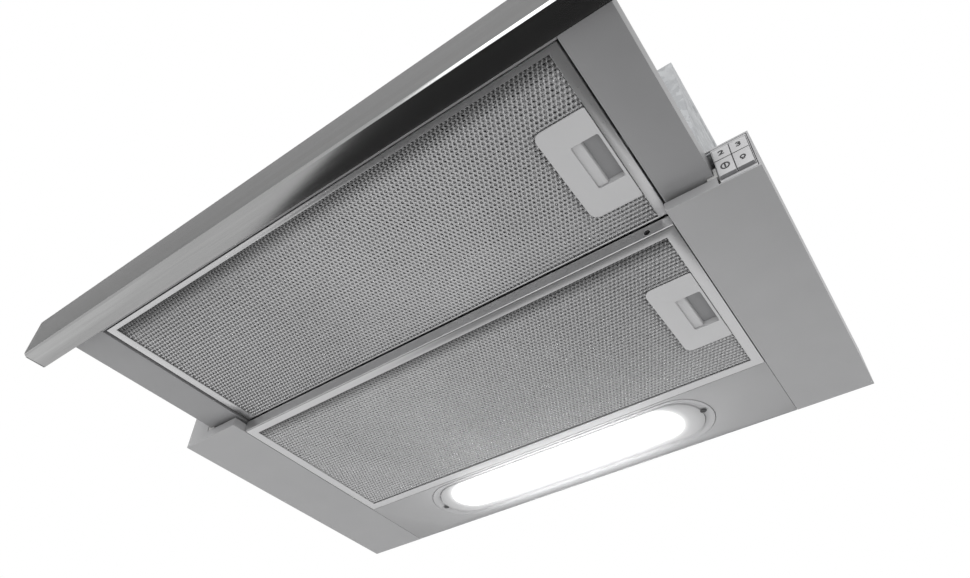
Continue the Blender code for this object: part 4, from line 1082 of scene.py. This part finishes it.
def cage_tree():
    """Curved blades set round the X axis: each is an arc pulled along the wheel and given its sheet."""
    sizes = ("Radius", "Chord", "Sheet", "Start", "Length")
    tree, given = geometry_group("fan_cage", Int=("Blades",), Float=sizes, Vector=("Centre",))
    add = partial(node, tree)
    calc = partial(maths, tree)
    bend = {"Resolution": 7, "Radius": given["Chord"], "Start Angle": 0.0, "Sweep Angle": BLADE_SWEEP}
    arc = add("GeometryNodeCurveArc", bend).outputs[0]
    outline = {"Width": given["Sheet"], "Height": given["Length"]}
    line = add("GeometryNodeCurvePrimitiveQuadrilateral", outline).outputs[0]
    sweep = {"Curve": arc, "Profile Curve": line, "Fill Caps": True}
    blade = add("GeometryNodeCurveToMesh", sweep).outputs[0]
    centred = transformed(tree, blade, Translation=vector(tree, X=calc("MULTIPLY", given["Chord"], -1.0)))
    ring = add("GeometryNodeMeshCircle", {"Vertices": given["Blades"], "Radius": given["Radius"]})
    index = add("GeometryNodeInputIndex").outputs[0]
    turn = calc("MULTIPLY", index, calc("DIVIDE", 2 * math.pi, given["Blades"]))
    cage = repeated(tree, ring.outputs["Mesh"], centred, vector(tree, Z=turn))
    laid = transformed(tree, cage, Rotation=(0, math.radians(90), 0))
    middle = calc("ADD", given["Start"], calc("MULTIPLY", given["Length"], 0.5))
    place = vector_maths(tree, "ADD", given["Centre"], vector(tree, X=middle))
    return put_out(tree, transformed(tree, laid, Translation=place), given["Material"])


for part in ("scroll_wrap", "scroll_side_left", "scroll_side_right"):
    softened(part, galvanised, 0.0003)
softened("motor_bracket", zinc, 0.0004)
wheel_low, wheel_high, axle, wheel_radius = round_box("impeller", across=2)
tree = cage_tree()
cages = [
    grown(
        tree,
        f"blades_{name}",
        blades=BLADES,
        radius=wheel_radius - BLADE_SHEET,
        chord=BLADE_CHORD,
        sheet=BLADE_SHEET,
        start=start,
        length=end - start,
        centre=axle,
        material=zinc,
    )
    for name, start, end in (
        ("left", wheel_low.x + BLADE_BITE, HUB[0] + BLADE_BITE),
        ("right", HUB[1] - BLADE_BITE, wheel_high.x - BLADE_BITE),
    )
]
bore_radius = wheel_radius - RIM_SHEET
rings = []
for x0, x1 in ((wheel_low.x, wheel_low.x + RIM_DEPTH), (wheel_high.x - RIM_DEPTH, wheel_high.x)):
    section = ((wheel_radius, x0), (wheel_radius, x1), (bore_radius, x1), (bore_radius, x0))
    rings.append(lathed(circle_x, axle, section, caps=False))
disc_section = [
    (wheel_radius, HUB[0]), (wheel_radius, HUB[1]), (wheel_radius - 0.003, HUB[1]),
    (wheel_radius - 0.004, HUB_WEB), (0.014, HUB_WEB), (0.012, HUB[1]), (0.0050, HUB[1]), (0.0050, HUB[0]),
]
rings.append(lathed(circle_x, axle, disc_section, caps=False))
cage_mesh = merged(*(cage.data for cage in cages), *rings)
for cage in cages:
    bpy.data.objects.remove(cage)
stands_for(link_object("fan_wheel_cage", cage_mesh, zinc), "impeller")

can_low, can_high, _, can_radius = round_box("motor", across=2)
can_end = HUB[0] - MOTOR_GAP
enamel = grained("motor_enamel", (0.060, 0.063, 0.067), 0.0, 0.42, 500.0, spread=0.08, bump=0.08)
can_section = [
    (0.0030, can_low.x), (0.0100, can_low.x), (0.0110, can_low.x + 0.0015), (0.0240, can_low.x + 0.0020),
    (can_radius - 0.0035, can_low.x + 0.0030), (can_radius - 0.0008, can_low.x + 0.0055),
]
for rib in range(COOLING_RIBS):
    x = can_low.x + 0.0080 + rib * RIB_PITCH
    can_section += [(can_radius, x), (can_radius, x + 0.0050), (can_radius - 0.0014, x + 0.0056)]
    can_section += [(can_radius - 0.0014, x + 0.0084)]
can_section += [(can_radius - 0.0035, can_end - 0.0012), (0.0120, can_end), (0.0080, can_end)]
can_section += [(0.0047, can_end), (0.0047, can_high.x - 0.0006), (0.0041, can_high.x)]
can = link_object("motor_can", lathed(circle_x, axle, can_section), enamel)
stands_for(can, "motor")

# ---- Electrical boxes ----
# The terminal box and the capacitor beside the fan, and the gland that the supply cable comes in by.
# The sections are (radius, z) steps; a step of the gland also says how many flats it has and how sharp.


def circle_z(centre, radius, z, flats=0, sharpness=0.0, steps=48):
    """A circle about a vertical axis, or a polygon when it has flats."""
    points = []
    for a in turns(steps):
        r = radius
        if flats:
            off = (a % (2 * math.pi / flats)) - math.pi / flats
            r = radius * (1 - sharpness + sharpness * math.cos(math.pi / flats) / math.cos(off))
        points.append((centre.x + r * math.cos(a), centre.y + r * math.sin(a), z))
    return points


grey_moulding = grained("grey_moulding", (0.22, 0.225, 0.23), 0.0, 0.5, 1200.0, spread=0.05, bump=0.10)
softened("terminal_box", grey_moulding, 0.0012, segments=3)
drum_low, drum_high, drum_at, drum_radius = round_box("capacitor", across=0)
neck_radius = drum_radius - 0.0007
drum_section = [
    (drum_radius, drum_low.z), (drum_radius, drum_high.z - 0.0040), (neck_radius, drum_high.z - 0.0030),
    (neck_radius, drum_high.z - 0.0016), (drum_radius, drum_high.z - 0.0008),
    (drum_radius - 0.0008, drum_high.z), (drum_radius - 0.0022, drum_high.z),
    (drum_radius - 0.0026, drum_high.z - 0.001),
]
drum_metal = grained("capacitor_can", (0.60, 0.61, 0.62), 0.8, 0.4, 600.0)
drum = link_object("capacitor_drum", lathed(circle_z, drum_at, drum_section), drum_metal)
stands_for(drum, "capacitor")
gland_low, gland_high, gland_at, nut_radius = round_box("cable_gland", across=0)
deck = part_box("housing_shell")[1].z
gland_section = [
    (0.0042, gland_low.z, 0, 0), (0.0076, gland_low.z, 0, 0), (0.0078, deck + 0.0001, 0, 0),
    (nut_radius, deck + 0.0003, 6, 1), (nut_radius, deck + 0.0046, 6, 1),
    (nut_radius - 0.0012, deck + 0.0052, 6, 0.6), (0.0084, deck + 0.0053, 0, 0),
    (0.0084, deck + 0.0060, 0, 0), (0.0092, deck + 0.0062, 12, 1), (0.0088, gland_high.z - 0.0026, 12, 1),
    (0.0070, gland_high.z - 0.0006, 12, 0.5), (0.0058, gland_high.z, 0, 0), (0.0046, gland_high.z, 0, 0),
    (0.0042, gland_high.z - 0.0012, 0, 0),
]
gland_mesh = lathed(partial(circle_z, steps=72), gland_at, gland_section, caps=False)
gland = link_object("supply_gland", gland_mesh, black_plastic)
stands_for(gland, "cable_gland")

# ---- Outlet ----
# The black moulded collar for the round duct, with a bead near its mouth, and two thin non-return
# flaps on a steel pin.

PIPE_INSET = 0.0130
PIPE_WALL = 0.0017

collar_low, collar_high, collar_at, flange_radius = round_box("outlet_spigot", across=0)
pipe = flange_radius - PIPE_INSET
bore = pipe - PIPE_WALL
foot, mouth = collar_low.z, collar_high.z
collar_section = [
    (bore, foot), (flange_radius - 0.0006, foot), (flange_radius, foot + 0.0006),
    (flange_radius, foot + 0.0014), (flange_radius - 0.0006, foot + 0.0020),
    (pipe + 0.0022, foot + 0.0020), (pipe + 0.0007, foot + 0.0026),
    (pipe, foot + 0.0044), (pipe, mouth - 0.0130), (pipe + 0.0010, mouth - 0.0122),
    (pipe + 0.0010, mouth - 0.0108), (pipe, mouth - 0.0100), (pipe, mouth - 0.0012), (pipe - 0.0004, mouth),
    (bore + 0.0004, mouth), (bore, mouth - 0.0006),
]
collar_mesh = lathed(partial(circle_z, steps=96), collar_at, collar_section, caps=False)
collar = link_object("duct_collar", collar_mesh, black_plastic)
stands_for(collar, "outlet_spigot")
for side in ("left", "right"):
    softened(f"flap_{side}", black_plastic, 0.0002)
softened("flap_pin", zinc, 0.0002)

# ---- Body details ----
# Stiffening beads pressed into the sheet, the folded seams of its sides, and the plates that the
# cabinet's screws pull on. BEAD_PROFILE steps are (share of the half width, share of the height).

BEAD_HEIGHT = 0.0011
BEAD_ROOT = -0.0003
BEAD_PROFILE = ((1.0, 0.0), (0.86, 0.35), (0.66, 0.78), (0.40, 1.0))
FRONT_BEADS = (0.052, 0.116)
WALL_BEADS = (0.030, 0.140)
WALL_BEAD_Y = -0.150
TOP_BEAD_X = 0.160
SEAM_FRONT = -0.0300
SEAM_WIDTH = 0.0140
SEAM_SHEET = 0.0007
SEAM_OVERLAP = 0.0002
SEAM_INSET = 0.0010


def bead(length, half_width, place):
    """A long pressed bead: a low dome with round ends, lying along X before it is placed."""
    bend = length / 2 - half_width
    steps = [(1.0, BEAD_ROOT)] + [(share, height * BEAD_HEIGHT) for share, height in BEAD_PROFILE]
    mesh = lofted([stadium(0, bend, half_width * share, z, steps=10) for share, z in steps])
    mesh.transform(place)
    return mesh


shell_low, shell_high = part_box("housing_shell")
front_face = Matrix.Rotation(math.radians(90), 4, "X")
beads = [bead(0.440, 0.0065, Matrix.Translation((0, shell_low.y, z)) @ front_face) for z in FRONT_BEADS]
for side, rear_length in ((-1, 0.200), (1, 0.060)):
    wall = Matrix.Rotation(side * math.radians(90), 4, "Z") @ front_face
    for z in WALL_BEADS:
        beads.append(bead(0.190, 0.0050, Matrix.Translation((side * shell_high.x, WALL_BEAD_Y, z)) @ wall))
    for y, length in ((-0.205, 0.200), (-0.075, rear_length)):
        beads.append(bead(length, 0.0060, Matrix.Translation((side * TOP_BEAD_X, y, shell_high.z))))
pressed = link_object("pressed_beads", merged(*beads), galvanised)
pressed.data.shade_smooth()
rides(pressed, "hood_body")

seams = []
for side in (-1, 1):
    x = (side * shell_high.x - side * SEAM_OVERLAP, side * (shell_high.x + SEAM_SHEET))
    y = (SEAM_FRONT - SEAM_WIDTH, SEAM_FRONT)
    outline = rounded(sorted(x), y, (0.0003,) * 4, SEAM_INSET, steps=2)
    seams.append(lofted([outline, [(a, b, shell_high.z - SEAM_INSET) for a, b, _ in outline]]))
rides(link_object("side_seams", merged(*seams), galvanised), "hood_body")
for side in ("left", "right"):
    softened(f"mounting_bracket_{side}", zinc, 0.0004)

# ---- Screws ----
# Zinc-plated pan-head screws with a cross recess, wherever one sheet is fixed to another. A geometry
# tree sets a head on each point of a mesh.

HEAD_RADIUS = 0.0036
HEAD_HEIGHT = 0.0021
FRONT_SCREWS = (-0.220, -0.110, 0.0, 0.110, 0.220)
FRONT_SCREW_Z = 0.0090
SEAM_SCREWS = (0.020, 0.080, 0.140)
SEAM_SCREW_Y = -0.0370
BRACKET_SCREWS = (-0.170, -0.130)
BRACKET_SCREW_Z = 0.100
COLLAR_SCREW_REACH = 0.0078
COLLAR_SCREW_RISE = 0.0021
STRAP_SCREWS = (-0.1710, -0.0690)
BOX_SCREWS = (0.188, 0.228)
BOX_SCREW_Y = -0.040


def pan_head_tree():
    """A pan head with a cross recess on each point, all facing one way."""
    tree, given = geometry_group("pan_heads", Float=("Radius", "Height"), Vector=("Facing",))
    calc = partial(maths, tree, "MULTIPLY")

    def cone(top, bottom, depth):
        sizes = {
            "Vertices": 16, "Radius Top": calc(given["Radius"], top),
            "Radius Bottom": calc(given["Radius"], bottom), "Depth": calc(given["Height"], depth),
        }
        return node(tree, "GeometryNodeMeshCone", sizes, fill_type="NGON").outputs["Mesh"]

    skirt = cone(0.94, 1.0, 0.55)
    crown = cone(0.58, 0.935, 0.46)
    lifted = transformed(tree, crown, Translation=vector(tree, Z=calc(given["Height"], 0.54)))
    whole = node(tree, "GeometryNodeMeshBoolean", {"Mesh 2": skirt}, operation="UNION")
    tree.links.new(lifted, whole.inputs["Mesh 2"])
    cut = node(tree, "GeometryNodeMeshBoolean", {"Mesh 1": whole.outputs["Mesh"]}, operation="DIFFERENCE")
    for x_share, y_share in ((1.0, 0.24), (0.24, 1.0)):
        size = vector(
            tree,
            X=calc(given["Radius"], x_share),
            Y=calc(given["Radius"], y_share),
            Z=calc(given["Height"], 0.9),
        )
        slot = node(tree, "GeometryNodeMeshCube", {"Size": size}).outputs["Mesh"]
        raised = transformed(tree, slot, Translation=vector(tree, Z=given["Height"]))
        tree.links.new(raised, cut.inputs["Mesh 2"])
    heads = repeated(tree, given["Geometry"], cut.outputs["Mesh"], given["Facing"])
    return put_out(tree, heads, given["Material"])


pan_heads = pan_head_tree()
quarter = math.radians(90)
upright = (0.0, 0.0, 0.0)
front_out = (quarter, 0.0, 0.0)
left_out = (0.0, -quarter, 0.0)
right_out = (0.0, quarter, 0.0)
bracket_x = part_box("mounting_bracket_right")[1].x
strap_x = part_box("motor_bracket")[0].x
box_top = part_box("terminal_box")[1].z
reach = pipe + COLLAR_SCREW_REACH
collar_screws = [
    (collar_at.x + reach * math.cos(a), collar_at.y + reach * math.sin(a), foot + COLLAR_SCREW_RISE)
    for a in (math.radians(45 + 90 * i) for i in range(4))
]
screw_places = {
    "front": (front_out, [(x, shell_low.y, FRONT_SCREW_Z) for x in FRONT_SCREWS]),
    "left": (left_out, [(shell_low.x - SEAM_SHEET, SEAM_SCREW_Y, z) for z in SEAM_SCREWS]),
    "right": (right_out, [(shell_high.x + SEAM_SHEET, SEAM_SCREW_Y, z) for z in SEAM_SCREWS]),
    "bracket_left": (left_out, [(-bracket_x, y, BRACKET_SCREW_Z) for y in BRACKET_SCREWS]),
    "bracket_right": (right_out, [(bracket_x, y, BRACKET_SCREW_Z) for y in BRACKET_SCREWS]),
    "collar": (upright, collar_screws),
    "motor_strap": (left_out, [(strap_x, y, axle.z) for y in STRAP_SCREWS]),
    "terminal_box": (upright, [(x, BOX_SCREW_Y, box_top) for x in BOX_SCREWS]),
}
for name, (facing, places) in screw_places.items():
    points = bpy.data.meshes.new("screw_points")
    points.from_pydata(places, [], [])
    looks = {"radius": HEAD_RADIUS, "height": HEAD_HEIGHT, "facing": facing, "material": zinc}
    rides(grown(pan_heads, f"screws_{name}", points, **looks), "hood_body")
